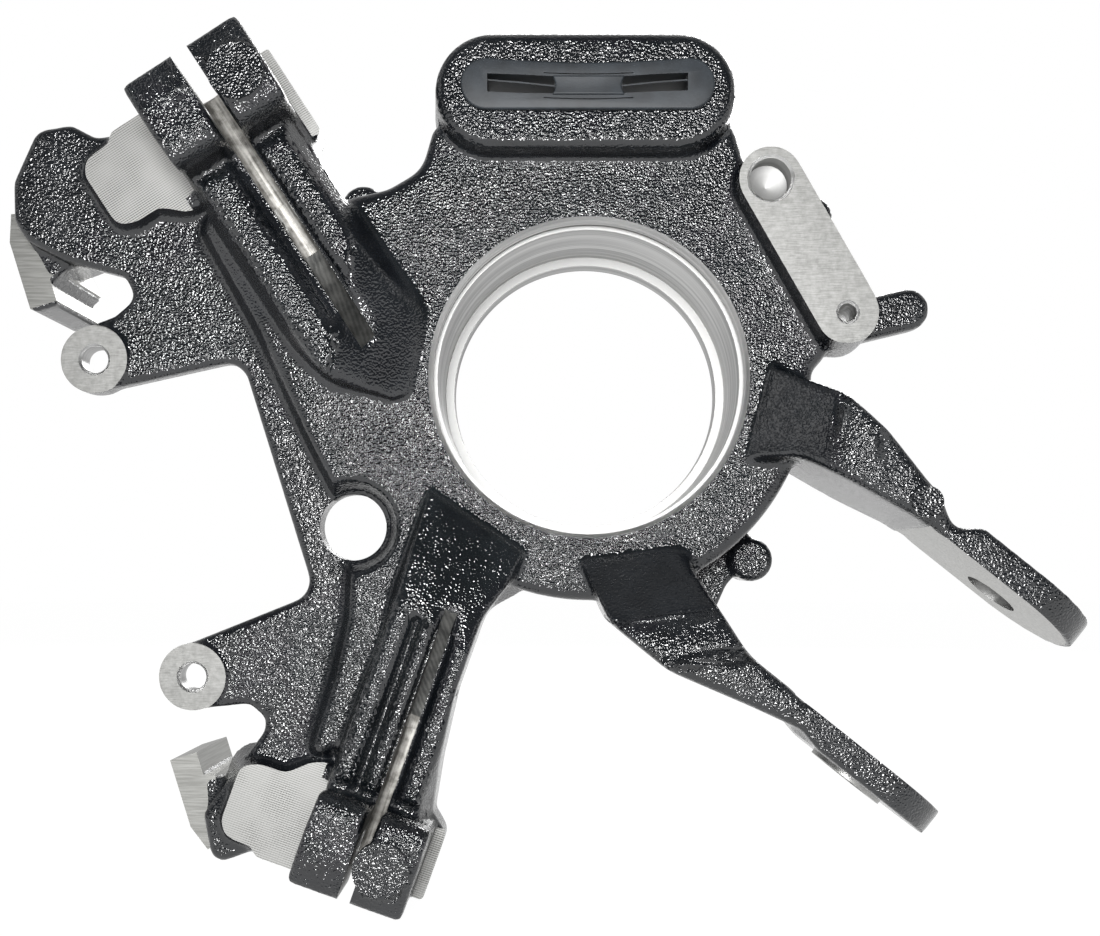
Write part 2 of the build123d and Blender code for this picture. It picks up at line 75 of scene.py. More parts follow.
def applyModifier(piece, kind, **settings):
    pick(piece)
    modifier = piece.modifiers.new(kind.title(), kind)
    for name, value in settings.items():
        setattr(modifier, name, value)
    bpy.ops.object.modifier_apply(modifier=modifier.name)


def triangles(piece):
    return sum(len(face.vertices) - 2 for face in piece.data.polygons)


# places: x right and y up as seen from inboard, z the height towards inboard, in mm

benchToRow = Matrix(((1, 0, 0, 0), (0, 0, -1, 0), (0, 1, 0, 0), (0, 0, 0, 1)))


def placeAt(angle, reach=0.0, offset=0.0, mirrored=False):
    turn = Matrix.Rotation(math.radians(angle), 4, "Z")
    shift = Matrix.Translation((reach * mm, offset * mm, 0))
    flip = Matrix.Diagonal((1, -1, 1, 1)) if mirrored else Matrix.Identity(4)
    return benchToRow @ turn @ shift @ flip


upperAngle = 123.0  # degrees round the hub, as the clamp arms point
lowerAngle = 250.3
lowerArmBelow = -20.0  # mm of height that parts the two arms
hubPlace = placeAt(0)
caliperPlace = placeAt(197.2)
forkPlace = placeAt(-38.5)
upperPlace = placeAt(upperAngle, 125.5, 45.7)
lowerPlace = placeAt(lowerAngle, 152.3, -13.7, mirrored=True)


def settle(piece, place):
    # leaves the object at the origin with its place in its mesh
    bpy.context.view_layer.update()
    piece.data.transform(place @ piece.matrix_world)
    piece.matrix_world = Matrix.Identity(4)
    editing(piece)
    bpy.ops.mesh.select_all(action="SELECT")
    bpy.ops.mesh.normals_make_consistent(inside=False)
    bpy.ops.object.mode_set(mode="OBJECT")
    return piece


def turnedTool(name, profile, place, at=(0, 0, 0), along="Z", segments=96):
    # a disc drawn up step by step through (radius, height) pairs
    spin = {
        "Z": Matrix.Identity(4),
        "X": Matrix.Rotation(math.pi / 2, 4, "Y"),
        "Y": Matrix.Rotation(-math.pi / 2, 4, "X"),
    }[along]
    radius, height = profile[0]
    deselectAll()
    bpy.ops.mesh.primitive_circle_add(vertices=segments, radius=radius * mm, fill_type="NGON",
        location=(0, 0, height * mm))
    tool = bpy.context.object
    tool.name = name
    editing(tool, "FACE")
    bpy.ops.mesh.select_all(action="SELECT")
    for newRadius, newHeight in profile[1:]:
        lift = (newHeight - height) * mm
        bpy.ops.mesh.extrude_region_move(TRANSFORM_OT_translate={"value": (0, 0, lift)})
        ratio = newRadius / radius
        if abs(ratio - 1) > 1e-6:
            middle = (0, 0, newHeight * mm)
            bpy.ops.transform.resize(value=(ratio, ratio, 1), center_override=middle)
        radius, height = newRadius, newHeight
    bpy.ops.object.mode_set(mode="OBJECT")
    shift = Matrix.Translation(Vector(at) * mm)
    return settle(tool, place @ shift @ spin)


def plateTool(name, corners, low, high, place):
    # an outline of (x, y) corners, drawn up from low to high
    deselectAll()
    bpy.ops.mesh.primitive_circle_add(vertices=len(corners), radius=mm, fill_type="NGON",
        location=(0, 0, 0))
    tool = bpy.context.object
    tool.name = name
    for vertex, (x, y) in zip(tool.data.vertices, corners):
        vertex.co = (x * mm, y * mm, low * mm)
    editing(tool, "VERT")
    bpy.ops.mesh.select_all(action="SELECT")
    bpy.ops.mesh.extrude_region_move(TRANSFORM_OT_translate={"value": (0, 0, (high - low) * mm)})
    bpy.ops.object.mode_set(mode="OBJECT")
    return settle(tool, place)


def stadiumCorners(start, end, radius, steps=16):
    angle = math.atan2(end[1] - start[1], end[0] - start[0])
    corners = []
    for middle, first in ((end, angle - math.pi / 2), (start, angle + math.pi / 2)):
        for i in range(steps + 1):
            a = first + math.pi * i / steps
            corners.append((middle[0] + radius * math.cos(a), middle[1] + radius * math.sin(a)))
    return corners


def boxCorners(start, end, near, far):
    return [(start, near), (start, far), (end, far), (end, near)]


# materials are filled in further down; their order is the order of the slots on every piece
finishNames = ["ironCoat", "milledIron", "facedIron", "spotFacedIron", "turnedIron", "sawnIron",
    "broachedIron", "reamedIron", "mouldedRubber"]
finishes = {name: bpy.data.materials.new(name) for name in finishNames}


def giveFinish(piece, finish):
    piece.data.materials.clear()
    for name in finishNames:
        piece.data.materials.append(finishes[name])
    for face in piece.data.polygons:
        face.material_index = finishNames.index(finish)


edgeAngles = {
    "coat": 80,  # degrees past which an edge shows as a line
    "machined": 30,
}


def crispEdges(piece):
    # machined edges stay sharp, while the coat rolls softly over the cast ones
    mesh = piece.data
    mesh.shade_smooth()
    touching = {}
    for face in mesh.polygons:
        for key in face.edge_keys:
            touching.setdefault(key, []).append(face)
    for edge in mesh.edges:
        pair = touching.get(edge.key, [])
        if len(pair) != 2:
            continue
        first, second = pair
        bothCoated = first.material_index == second.material_index == 0
        limit = math.radians(edgeAngles["coat"] if bothCoated else edgeAngles["machined"])
        changes = first.material_index != second.material_index
        edge.use_edge_sharp = changes or first.normal.angle(second.normal, 0) > limit


def rubSmooth(piece, place, low, high, rounds, fade=7.0):
    # smooths the vertices inside a box in the place's own mm, less and less toward its sides
    toPlace = place.inverted()
    group = piece.vertex_groups.new(name="softSpot")
    for vertex in piece.data.vertices:
        spot = toPlace @ vertex.co / mm
        inside = min(min(spot[i] - low[i], high[i] - spot[i]) for i in range(3))
        if inside > 0:
            group.add([vertex.index], min(1.0, inside / fade), "REPLACE")
    factor = blank["smoothingFactor"]
    applyModifier(piece, "SMOOTH", factor=factor, iterations=rounds, vertex_group=group.name)
    piece.vertex_groups.clear()


def finishPiece(piece, node):
    crispEdges(piece)
    pick(piece)
    bpy.ops.object.material_slot_remove_unused()
    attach(piece, "root")
    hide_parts(node)
    print(piece.name, "finished:", triangles(piece), "triangles")


def carve(body, tool, finish, operation="DIFFERENCE"):
    giveFinish(tool, finish)
    applyModifier(body, "BOOLEAN", operation=operation, object=tool, solver="MANIFOLD",
        material_mode="INDEX")
    bpy.data.objects.remove(tool, do_unlink=True)


# the blank: the casting before it was machined, with soft foundry radii

blank = {
    "voxel": 0.75,
    "smoothing": 8,  # rounds, at first and after the triangles are thinned
    "lastSmoothing": 2,
    # place, two corners of a box there, rounds of smoothing
    "softSpots": [
        (forkPlace, (42.0, -70.0, 20.0), (106.0, 70.0, 75.0), 40),
        (upperPlace, (-96.0, -30.0, 18.0), (-70.0, 30.0, 55.0), 60),
        (upperPlace, (-86.0, -44.0, 10.0), (-26.0, 34.0, 55.0), 22),
        (lowerPlace, (-86.0, -34.0, 14.0), (-26.0, 34.0, 55.0), 14),
    ],
    "smoothingFactor": 0.5,
    "weld": 0.002,
    "trianglesKept": 165000,
}

hub = {
    "face": 27.5,
    "back": -28.5,
    "bore": [(40.0, -31.0), (40.0, -19.5), (42.5, -19.5), (42.5, 19.5), (45.0, 19.5), (45.0, 21.7),
             (43.4, 21.7), (43.4, 26.4), (47.0, 30.0)],
    "plug": 47.0,
    "plugSunk": 0.3,
}

guide = {
    "reach": 131.0,
    "halfPitch": 46.7,
    "radius": 9.5,
    "face": 20.0,
    "hole": 3.75,
    "chamfer": 0.9,
    "plateBack": 11.5,
    "plugSunk": 0.1,
    "plugProud": 2.4,
    "facingMargin": 0.15,
    "facingTop": 30.0,
    "drillFrom": 5.0,
}

pad = {
    "face": 25.0,
    "plugSunk": 3.0,
    "plugProud": 2.2,
    "toolTop": 70.0,
    "toolGap": 0.3,
    "toolSide": 50.0,
    "toolOutline": [(-17.0, 50.0), (-17.0, 42.0), (-19.5, 40.8), (-21.4, 36.4), (-21.4, 29.2),
        (-22.7, 27.1), (-26.6, 23.7)],
    "toolBack": -27.9,
    "toolShoulder": 19.8,
    "toolStep": 0.4,
    "toolRoot": (-23.2, -22.9),
    "corners": [(4.2, 10.0), (4.2, 28.2), (3.9, 29.0), (1.8, 30.6), (1.6, 36.5), (0.8, 39.2),
        (-2.4, 41.0), (-16.4, 41.0), (-18.6, 39.8), (-20.4, 36.0), (-20.4, 29.0), (-21.8, 26.4),
        (-25.6, 23.0), (-27.0, 19.5), (-27.0, 10.0)],
}

arms = {
    "upper": {
        "place": upperPlace,
        "halfEar": 17.4,
        "ledge": 27.0,
        "mark": (-13.3, -9.5),
        "boreDepth": 37.0,
        "neckEnd": 53.5,
        "kerfEnd": 87.0,
        "kerfExit": 35.5,
        "slot": 5.0,
        "flankGap": 3.6,
        "valleys": [[(7.4, 42.0), (6.3, 38.4), (4.1, 34.2), (-2.9, 34.2), (-3.9, 38.4), (-4.8, 42.0)]],
        "valleyEnd": 74.0,
    },
    "lower": {
        "place": lowerPlace,
        "halfEar": 15.6,
        "ledge": 20.0,
        "mark": (-11.3, -6.4),
        "boreDepth": 43.3,
        "neckEnd": 47.4,
        "kerfEnd": 79.5,
        "kerfExit": 36.5,
        "slot": 3.5,
        "flankGap": 3.0,
        "valleys": [[(10.4, 42.0), (9.6, 38.4), (8.4, 34.8), (7.2, 34.8), (6.1, 38.4), (5.4, 42.0)],
                    [(3.0, 42.0), (2.4, 38.4), (2.0, 34.2), (-2.5, 34.2), (-3.8, 38.4), (-4.6, 42.0)]],
        "valleyEnd": 73.0,
    },
}

clamp = {
    "axis": 25.5,
    "bore": 8.0,
    "boreStart": 0.6,
    "boreChamfer": 1.6,
    "neck": 6.8,
    "pinch": 5.25,
    "pinchInset": 11.3,
    "pinchHeight": 42.0,
    "spot": 10.5,
    "spotDepth": 0.5,
    "sawRadius": 72.0,
    "sawAbove": 1.5,
    "sawStart": 1.0,
    "sawTop": 90.0,
    "toolBeyond": 9.0,
    "earTop": 59.5,
    # start, end and top of each filling block between the ears
    "earSteps": [(-0.4, -14.5, 59.2), (-14.0, -18.0, 57.9), (-17.5, -20.5, 56.1), (-20.0, -22.2, 52.5)],
    "valleyStart": 28.0,
    # place along the arm, and how far the crown of the ears has fallen there
    "crownFall": [(-18.8, 0.0), (-20.4, 0.2), (-22.4, 0.75), (-23.8, 1.6), (-24.6, 2.9), (-25.0, 5.0),
        (-24.6, 10.0), (-22.0, 16.0)],
    "crownStart": (-10.0, 44.0),
    "crownSunk": (0.2, 0.1),
    "crownInset": 0.3,
    "ledgeWidth": 3.4,
    "ledgeTaper": 5.0,
    "ledgeRoot": 6.0,
    "ledgeBevel": 2.5,
    "ledgeOver": 1.0,
    "ledgeReach": 12.0,
    "plugMargin": 0.4,
    "borePlugMargin": 1.5,
    "borePlugEnds": (0.1, 1.0),
    "spotPlugMargin": 0.5,
    "spotPlugSunk": 0.2,
    "spotOver": 3.0,
    "pinchOver": 6.0,
    "earPlugLow": 17.0,
    "kerfStart": -10.0,
    "kerfPlug": (14.0, 34.0),
    "markRadius": 7.2,
    "markRoot": 3.0,
    "markRise": 0.8,
}

sensor = {
    "top": (48.8, 52.5),
    "bottom": (69.6, 16.3),
    "halfWidth": 8.6,
    "face": 37.5,
    "bore": 5.65,
    "boreDepth": 9.0,
    "drillTip": 0.05,
    "drillPoint": 2.4,
    "boreChamfer": 1.0,
    "screw": 2.5,
    "screwDepth": 16.0,
    "screwChamfer": 0.9,
    "plugSunk": 17.0,
    "plugProud": 2.5,
    "facingMargin": 4.0,
    "facingHeight": 6.0,
}

boss = {
    "start": (-26.5, 76.8),
    "end": (24.1, 76.8),
    "slotHalf": 4.5,
    "face": 36.5,
    "back": 8.0,
    "toolOver": 4.0,
    "plugMargin": 0.6,
}

link = {
    "at": (-66.0, -41.3),
    "radius": 9.35,
    "plugMargin": 0.6,
    "front": 21.0,
    "drillSpan": (5.0, 30.0),
}

forkEnds = {
    "reach": 125.5,
    "offset": -5.35,
    "gap": 57.1,
    "faceStart": 96.0,
    "faceEnd": 180.0,
    "faceSpan": (-10.0, 70.0),
    "mid": 26.5,
    "blade": 8.3,
    "hole": 7.75,
    "holeHeight": 21.5,
    "drillReach": 45.0,
    "buttonAt": (91.3, 27.4),
    "buttonRadius": 4.2,
    "buttonSpan": (44.0, 48.7),
    "seat": 11.5,
    "seatRise": 0.5,
    "seatSunk": 1.5,
    "tip": 20.9,
    "tipSunk": 0.5,
    "plugStart": 101.0,
    "plugSpan": (5.6, 47.4),
    "plugProud": 1.8,
    "plugSunk": 1.5,
}

rail = {
    "outline": [(145.7, 67.9), (138.3, 67.9), (138.3, 74.5), (135.3, 75.5), (136.8, 84.9), (139.8, 93.9),
        (143.1, 94.9), (145.7, 87.4)],
    "middle": (140.5, 81.0),
    "back": -29.7,
    "front": 12.2,
    "stretch": (1.07, 1.02),  # covers the softened edges of the casting's own rail
}

shield = {
    "bosses": [(-66.0, 54.0), (66.5, 51.0), (48.8, -50.3)],
    "plug": 3.2,
    "plugSpan": (-21.8, -6.0),
    "hole": 2.5,
    "holeSpan": (-26.0, -8.0),
}

pick(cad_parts["knuckle_casting"])
bpy.ops.object.duplicate()
castBody = bpy.context.object
castBody.name = "castBody"
editing(castBody)
bpy.ops.mesh.select_all(action="SELECT")
bpy.ops.mesh.remove_doubles(threshold=blank["weld"] * mm)
bpy.ops.object.mode_set(mode="OBJECT")
castBody.parent = None
castBody.matrix_world = Matrix.Identity(4)

# plugs fill what will be machined again, so that the soft skin only rounds the rough casting
plugs = []
filling = [(hub["plug"], hub["back"] + hub["plugSunk"]), (hub["plug"], hub["face"])]
plugs.append(turnedTool("plug", filling, hubPlace))
for side in (-1, 1):
    at = (guide["reach"], side * guide["halfPitch"], 0)
    post = [(guide["radius"], guide["plateBack"] + guide["plugSunk"]),
        (guide["radius"], guide["face"] + guide["plugProud"])]
    plugs.append(turnedTool("plug", post, caliperPlace, at))
for arm in arms.values():
    place = arm["place"]
    half = arm["halfEar"]
    low, high = pad["face"] - pad["plugSunk"], pad["face"] + pad["plugProud"]
    plugs.append(plateTool("plug", pad["corners"], low, high, place))
    edge = -half - clamp["ledgeWidth"]
    taper = -arm["ledge"] - clamp["ledgeTaper"]
    strip = [(0, -clamp["ledgeRoot"]), (0, edge), (-arm["ledge"], edge),
        (taper, clamp["ledgeBevel"] - half), (taper, -clamp["ledgeRoot"])]
    plugs.append(plateTool("plug", strip, low, high, place))
    width = arm["slot"] / 2 + clamp["plugMargin"]
    for start, end, top in clamp["earSteps"]:
        step = boxCorners(start, end, -width, width)
        plugs.append(plateTool("plug", step, clamp["earPlugLow"], top, place))
    sideways = place @ Matrix.Rotation(math.pi / 2, 4, "X")
    crownX, crownLow = clamp["crownStart"]
    startSunk, sunk = clamp["crownSunk"]
    crown = [(crownX, crownLow), (crownX, clamp["earTop"] - startSunk)]
    crown += [(x, clamp["earTop"] - sunk - fall) for x, fall in clamp["crownFall"]]
    for low, high in ((width, half - clamp["crownInset"]), (clamp["crownInset"] - half, -width)):
        plugs.append(plateTool("plug", crown, low, high, sideways))
    kerf = boxCorners(clamp["kerfStart"], -arm["kerfEnd"], -width, width)
    plugs.append(plateTool("plug", kerf, *clamp["kerfPlug"], place))
    core = clamp["bore"] + clamp["borePlugMargin"]
    sunk, past = clamp["borePlugEnds"]
    filling = [(core, -sunk), (core, -arm["neckEnd"] - past)]
    plugs.append(turnedTool("plug", filling, place, (0, 0, clamp["axis"]), "X"))
    pinchAt = (-clamp["pinchInset"], 0, clamp["pinchHeight"])
    rim = clamp["spot"] + clamp["spotPlugMargin"]
    reach = half - clamp["spotPlugSunk"]
    plugs.append(turnedTool("plug", [(rim, reach), (rim, -reach)], place, pinchAt, "Y"))
sensorFace = stadiumCorners(sensor["top"], sensor["bottom"], sensor["halfWidth"])
low, high = sensor["face"] - sensor["plugSunk"], sensor["face"] + sensor["plugProud"]
plugs.append(plateTool("plug", sensorFace, low, high, hubPlace))
slotFace = stadiumCorners(boss["start"], boss["end"], boss["slotHalf"] + boss["plugMargin"])
plugs.append(plateTool("plug", slotFace, boss["back"], boss["face"], hubPlace))
core = link["radius"] + link["plugMargin"]
filling = [(core, guide["plateBack"]), (core, link["front"])]
plugs.append(turnedTool("plug", filling, hubPlace, (*link["at"], 0)))
for side in (-1, 1):
    edge = forkEnds["offset"] + side * forkEnds["gap"] / 2
    near, far = edge - side * forkEnds["plugProud"], edge + side * forkEnds["plugSunk"]
    inner = boxCorners(forkEnds["plugStart"], forkEnds["reach"], near, far)
    plugs.append(plateTool("plug", inner, *forkEnds["plugSpan"], forkPlace))
    holeAt = (forkEnds["reach"], edge, forkEnds["mid"])
    tip = [(forkEnds["tip"], -side * forkEnds["plugProud"]),
        (forkEnds["tip"], side * (forkEnds["blade"] - forkEnds["tipSunk"]))]
    plugs.append(turnedTool("plug", tip, forkPlace, holeAt, "Y"))
for x, y in shield["bosses"]:
    filling = [(shield["plug"], height) for height in shield["plugSpan"]]
    plugs.append(turnedTool("plug", filling, hubPlace, (x, y, 0)))
pick(castBody, *plugs)
bpy.ops.object.join()
castBody.data.remesh_voxel_size = blank["voxel"] * mm
castBody.data.remesh_voxel_adaptivity = 0
castBody.data.use_remesh_preserve_volume = False
bpy.ops.object.voxel_remesh()
print("blank remeshed:", triangles(castBody))
applyModifier(castBody, "SMOOTH", factor=blank["smoothingFactor"], iterations=blank["smoothing"])
for place, low, high, rounds in blank["softSpots"]:
    rubSmooth(castBody, place, low, high, rounds)
ratio = blank["trianglesKept"] / triangles(castBody)
applyModifier(castBody, "DECIMATE", ratio=ratio)
applyModifier(castBody, "SMOOTH", factor=blank["smoothingFactor"], iterations=blank["lastSmoothing"])
giveFinish(castBody, "ironCoat")
print("blank smoothed:", triangles(castBody))


# machining: each tool leaves its own finish on the faces that it cuts

over = 0.2  # mm that a tool runs past the face it opens


def mouth(radius, chamfer, face):
    # the top of a drill's profile, opened by a chamfer at the face
    return [(radius, face - chamfer + over), (radius + chamfer, face + over)]


carve(castBody, turnedTool("boreTool", hub["bore"], hubPlace, segments=160), "turnedIron")
for side in (-1, 1):
    at = (guide["reach"], side * guide["halfPitch"], 0)
    cutter = guide["radius"] + guide["facingMargin"]
    facing = [(cutter, guide["face"]), (cutter, guide["facingTop"])]
    carve(castBody, turnedTool("faceTool", facing, caliperPlace, at), "spotFacedIron")
    drill = [(guide["hole"], guide["drillFrom"])] + mouth(guide["hole"], guide["chamfer"], guide["face"])
    carve(castBody, turnedTool("drill", drill, caliperPlace, at, segments=48), "turnedIron")
print("hub and guide bosses machined")

for name, arm in arms.items():
    place = arm["place"]
    half = arm["halfEar"]
    gap = half + arm["flankGap"]
    beyond = clamp["toolBeyond"]
    near = half + pad["toolGap"]
    back = pad["toolBack"]
    rootBack, rootFront = pad["toolRoot"]
    padTool = [(beyond, near), (beyond, pad["toolSide"])] + pad["toolOutline"]
    padTool += [(back, max(pad["toolShoulder"], gap + pad["toolStep"])), (back, gap), (rootBack, gap),
        (rootFront, near)]
    carve(castBody, plateTool("padTool", padTool, pad["face"], pad["toolTop"], place), "milledIron")
    ledgeTool = boxCorners(beyond, -arm["ledge"] - clamp["ledgeOver"], -near, -half - clamp["ledgeReach"])
    carve(castBody, plateTool("ledgeTool", ledgeTool, pad["face"], pad["toolTop"], place), "milledIron")
    lengthwise = place @ Matrix(((0, 0, 1, 0), (1, 0, 0, 0), (0, 1, 0, 0), (0, 0, 0, 1)))
    for valley in arm["valleys"]:
        hollow = plateTool("valleyTool", valley, -arm["valleyEnd"], -clamp["valleyStart"], lengthwise)
        carve(castBody, hollow, "ironCoat")
    pinchAt = (-clamp["pinchInset"], 0, clamp["pinchHeight"])
    reach = half + clamp["pinchOver"]
    drill = [(clamp["pinch"], reach), (clamp["pinch"], -reach)]
    carve(castBody, turnedTool("pinchDrill", drill, place, pinchAt, "Y", 48), "turnedIron")
    for side in (-1, 1):
        inner, outer = side * (half - clamp["spotDepth"]), side * (half + clamp["spotOver"])
        spot = [(clamp["spot"], inner), (clamp["spot"], outer)]
        carve(castBody, turnedTool("spotTool", spot, place, pinchAt, "Y", 64), "milledIron")
    start = clamp["boreStart"]
    bore = [(clamp["bore"] + clamp["boreChamfer"], start), (clamp["bore"], start - clamp["boreChamfer"])]
    bore += [(clamp["bore"], -arm["boreDepth"]), (clamp["neck"], -arm["boreDepth"]),
        (clamp["neck"], -arm["neckEnd"])]
    carve(castBody, turnedTool("clampBore", bore, place, (0, 0, clamp["axis"]), "X", 64), "reamedIron")
    # the saw cuts straight through the ears, then runs out of the arm along its own radius
    floor = clamp["axis"] - clamp["bore"] + clamp["sawAbove"]
    rise = arm["kerfExit"] - floor
    radius = clamp["sawRadius"]
    sawX = -arm["kerfEnd"] + math.sqrt(radius ** 2 - (radius - rise) ** 2)
    width = arm["slot"] / 2
    blade = [(radius, width), (radius, -width)]
    saw = turnedTool("sawBlade", blade, place, (sawX, 0, floor + radius), "Y", 180)
    carve(castBody, saw, "sawnIron")
    straight = boxCorners(clamp["sawStart"], sawX, -width, width)
    carve(castBody, plateTool("sawStraight", straight, floor, clamp["sawTop"], place), "sawnIron")
    low, high = clamp["earTop"] - clamp["markRoot"], clamp["earTop"] + clamp["markRise"]
    mark = [(clamp["markRadius"], low), (clamp["markRadius"], high)]
    carve(castBody, turnedTool("earMark", mark, place, (*arm["mark"], 0), segments=64), "ironCoat", "UNION")
    print(name, "arm machined:", triangles(castBody))

wideFace = stadiumCorners(sensor["top"], sensor["bottom"], sensor["halfWidth"] + sensor["facingMargin"])
top = sensor["face"] + sensor["facingHeight"]
carve(castBody, plateTool("sensorFacing", wideFace, sensor["face"], top, hubPlace), "spotFacedIron")
floor = sensor["face"] - sensor["boreDepth"]
bore = [(sensor["drillTip"], floor - sensor["drillPoint"]), (sensor["bore"], floor)]
bore += mouth(sensor["bore"], sensor["boreChamfer"], sensor["face"])
carve(castBody, turnedTool("sensorBore", bore, hubPlace, (*sensor["top"], 0), segments=72), "turnedIron")
screw = [(sensor["screw"], sensor["face"] - sensor["screwDepth"])]
screw += mouth(sensor["screw"], sensor["screwChamfer"], sensor["face"])
tool = turnedTool("sensorScrew", screw, hubPlace, (*sensor["bottom"], 0), segments=48)
carve(castBody, tool, "turnedIron")

gapHalf = forkEnds["gap"] / 2
near, far = forkEnds["offset"] - gapHalf, forkEnds["offset"] + gapHalf
forkGap = boxCorners(forkEnds["faceStart"], forkEnds["faceEnd"], near, far)
carve(castBody, plateTool("forkFacing", forkGap, *forkEnds["faceSpan"], forkPlace), "facedIron")
button = [(forkEnds["buttonRadius"], height) for height in forkEnds["buttonSpan"]]
tool = turnedTool("button", button, forkPlace, (*forkEnds["buttonAt"], 0), segments=48)
carve(castBody, tool, "ironCoat", "UNION")
boltAt = (forkEnds["reach"], forkEnds["offset"], forkEnds["holeHeight"])
for side in (-1, 1):
    outer = gapHalf + forkEnds["blade"]
    inner, proud = side * (outer - forkEnds["seatSunk"]), side * (outer + forkEnds["seatRise"])
    seat = [(forkEnds["seat"], inner), (forkEnds["seat"], proud)]
    carve(castBody, turnedTool("boltSeat", seat, forkPlace, boltAt, "Y", 64), "facedIron", "UNION")
drill = [(forkEnds["hole"], forkEnds["drillReach"]), (forkEnds["hole"], -forkEnds["drillReach"])]
carve(castBody, turnedTool("boltDrill", drill, forkPlace, boltAt, "Y", 64), "turnedIron")

slotFace = stadiumCorners(boss["start"], boss["end"], boss["slotHalf"])
low, high = boss["back"] - boss["toolOver"], boss["face"] + boss["toolOver"]
carve(castBody, plateTool("slotTool", slotFace, low, high, hubPlace), "ironCoat")
drill = [(link["radius"], height) for height in link["drillSpan"]]
carve(castBody, turnedTool("linkDrill", drill, hubPlace, (*link["at"], 0), segments=72), "ironCoat")
for x, y in shield["bosses"]:
    drill = [(shield["hole"], height) for height in shield["holeSpan"]]
    carve(castBody, turnedTool("shieldDrill", drill, hubPlace, (x, y, 0), segments=32), "turnedIron")
midX, midY = rail["middle"]
stretchX, stretchY = rail["stretch"]
for side in (-1, 1):
    corners = []
    for x, y in rail["outline"]:
        corners.append((midX + (x - midX) * stretchX, side * (midY + (y - midY) * stretchY)))
    tool = plateTool("padRail", corners, rail["back"], rail["front"], caliperPlace)
    carve(castBody, tool, "broachedIron", "UNION")
print("all faces machined:", triangles(castBody))

finishPiece(castBody, "knuckle_casting")


# rubber grommet: its lip, the sleeve in the boss slot, two slits with fine ribs, and the bridge between them

grommet = {
    "ends": ((-28.1, 77.8), (26.7, 77.8)),
    "half": 6.95,
    "waist": 1.3,
    "low": 36.5,
    "high": 38.7,
    "sleeve": (4.35, 24.5),
    "bridge": (-10.3, 9.3, 74.6, 79.7),
    "bridgeTop": 39.4,
    "slits": (((-27.8, 80.4), (-19.0, 80.1), (-9.6, 79.6), (-9.6, 75.0), (-19.0, 75.1), (-27.8, 75.5)),
              ((26.3, 80.6), (17.0, 80.2), (8.6, 79.6), (8.6, 75.1), (17.0, 75.5), (26.3, 75.8))),
    "ribs": (((-27.9, 79.1), (-19.0, 78.4), (-9.5, 77.4)), ((26.4, 79.1), (17.0, 78.4), (8.5, 77.5))),
    "ribHalf": 0.2,
    "ribTop": 37.3,
    "lipRounding": 0.55,
    "bridgeRounding": 0.5,
    "sleeveOverlap": 0.5,
    "slitPast": 1.0,
    "cutTop": 42.0,
    "tears": (-0.75, 0.85),  # from the bridge's lower and upper edge
    "tearOver": 2.3,
    "tearHalf": 0.14,
    "tearBow": 0.35,
    "tearDepth": 0.8,
    "bridgeWaist": 0.9,
    "bridgeRoot": 2.0,
}


def lipCorners(half, steps=20, waistSteps=12):
    # a stadium whose upper edge sags a little in the middle
    corners = stadiumCorners(*grommet["ends"], half, steps)
    (left, _), (right, height) = grommet["ends"]
    top = []
    for i in range(1, waistSteps):
        share = i / waistSteps
        top.append((right + (left - right) * share,
            height + half - grommet["waist"] * math.sin(math.pi * share)))
    return corners[:steps + 1] + top + corners[steps + 1:]


def band(points, half):
    # a narrow strip along a line of points
    upper = [(x, y + half) for x, y in points]
    lower = [(x, y - half) for x, y in reversed(points)]
    return upper + lower


slotGrommet = plateTool("slotGrommet", lipCorners(grommet["half"]), grommet["low"], grommet["high"],
    hubPlace)
giveFinish(slotGrommet, "mouldedRubber")
softEdge = {"segments": 3, "limit_method": "ANGLE", "angle_limit": math.radians(50)}
applyModifier(slotGrommet, "BEVEL", width=grommet["lipRounding"] * mm, **softEdge)
sleeveHalf, sleeveLow = grommet["sleeve"]
oval = stadiumCorners(boss["start"], boss["end"], sleeveHalf)
sleeve = plateTool("sleeve", oval, sleeveLow, grommet["low"] + grommet["sleeveOverlap"], hubPlace)
carve(slotGrommet, sleeve, "mouldedRubber", "UNION")
for corners in grommet["slits"]:
    slit = plateTool("slit", corners, sleeveLow - grommet["slitPast"], grommet["cutTop"], hubPlace)
    carve(slotGrommet, slit, "mouldedRubber")
for points in grommet["ribs"]:
    rib = plateTool("rib", band(points, grommet["ribHalf"]), sleeveLow, grommet["ribTop"], hubPlace)
    carve(slotGrommet, rib, "mouldedRubber", "UNION")
left, right, bottom, top = grommet["bridge"]
lowerTear, upperTear = grommet["tears"]
for y in (bottom + lowerTear, top + upperTear):
    start = left - grommet["tearOver"]
    span = right - left + 2 * grommet["tearOver"]
    line = [(start + span * i / 10, y - grommet["tearBow"] * math.sin(math.pi * i / 10)) for i in range(11)]
    tearLow = grommet["high"] - grommet["tearDepth"]
    tear = plateTool("tear", band(line, grommet["tearHalf"]), tearLow, grommet["cutTop"], hubPlace)
    carve(slotGrommet, tear, "mouldedRubber")
waist = [(grommet["bridgeWaist"] * math.sin(math.pi * i / 8), (top - bottom) * i / 8) for i in range(1, 8)]
strap = [(left, top)] + [(left + dx, top - dy) for dx, dy in waist] + [(left, bottom)]
strap += [(right, bottom)] + [(right - dx, bottom + dy) for dx, dy in waist] + [(right, top)]
bridge = plateTool("bridge", strap, grommet["high"] - grommet["bridgeRoot"], grommet["bridgeTop"], hubPlace)
applyModifier(bridge, "BEVEL", width=grommet["bridgeRounding"] * mm, **softEdge)
carve(slotGrommet, bridge, "mouldedRubber", "UNION")
finishPiece(slotGrommet, "slot_grommet")


# finishes

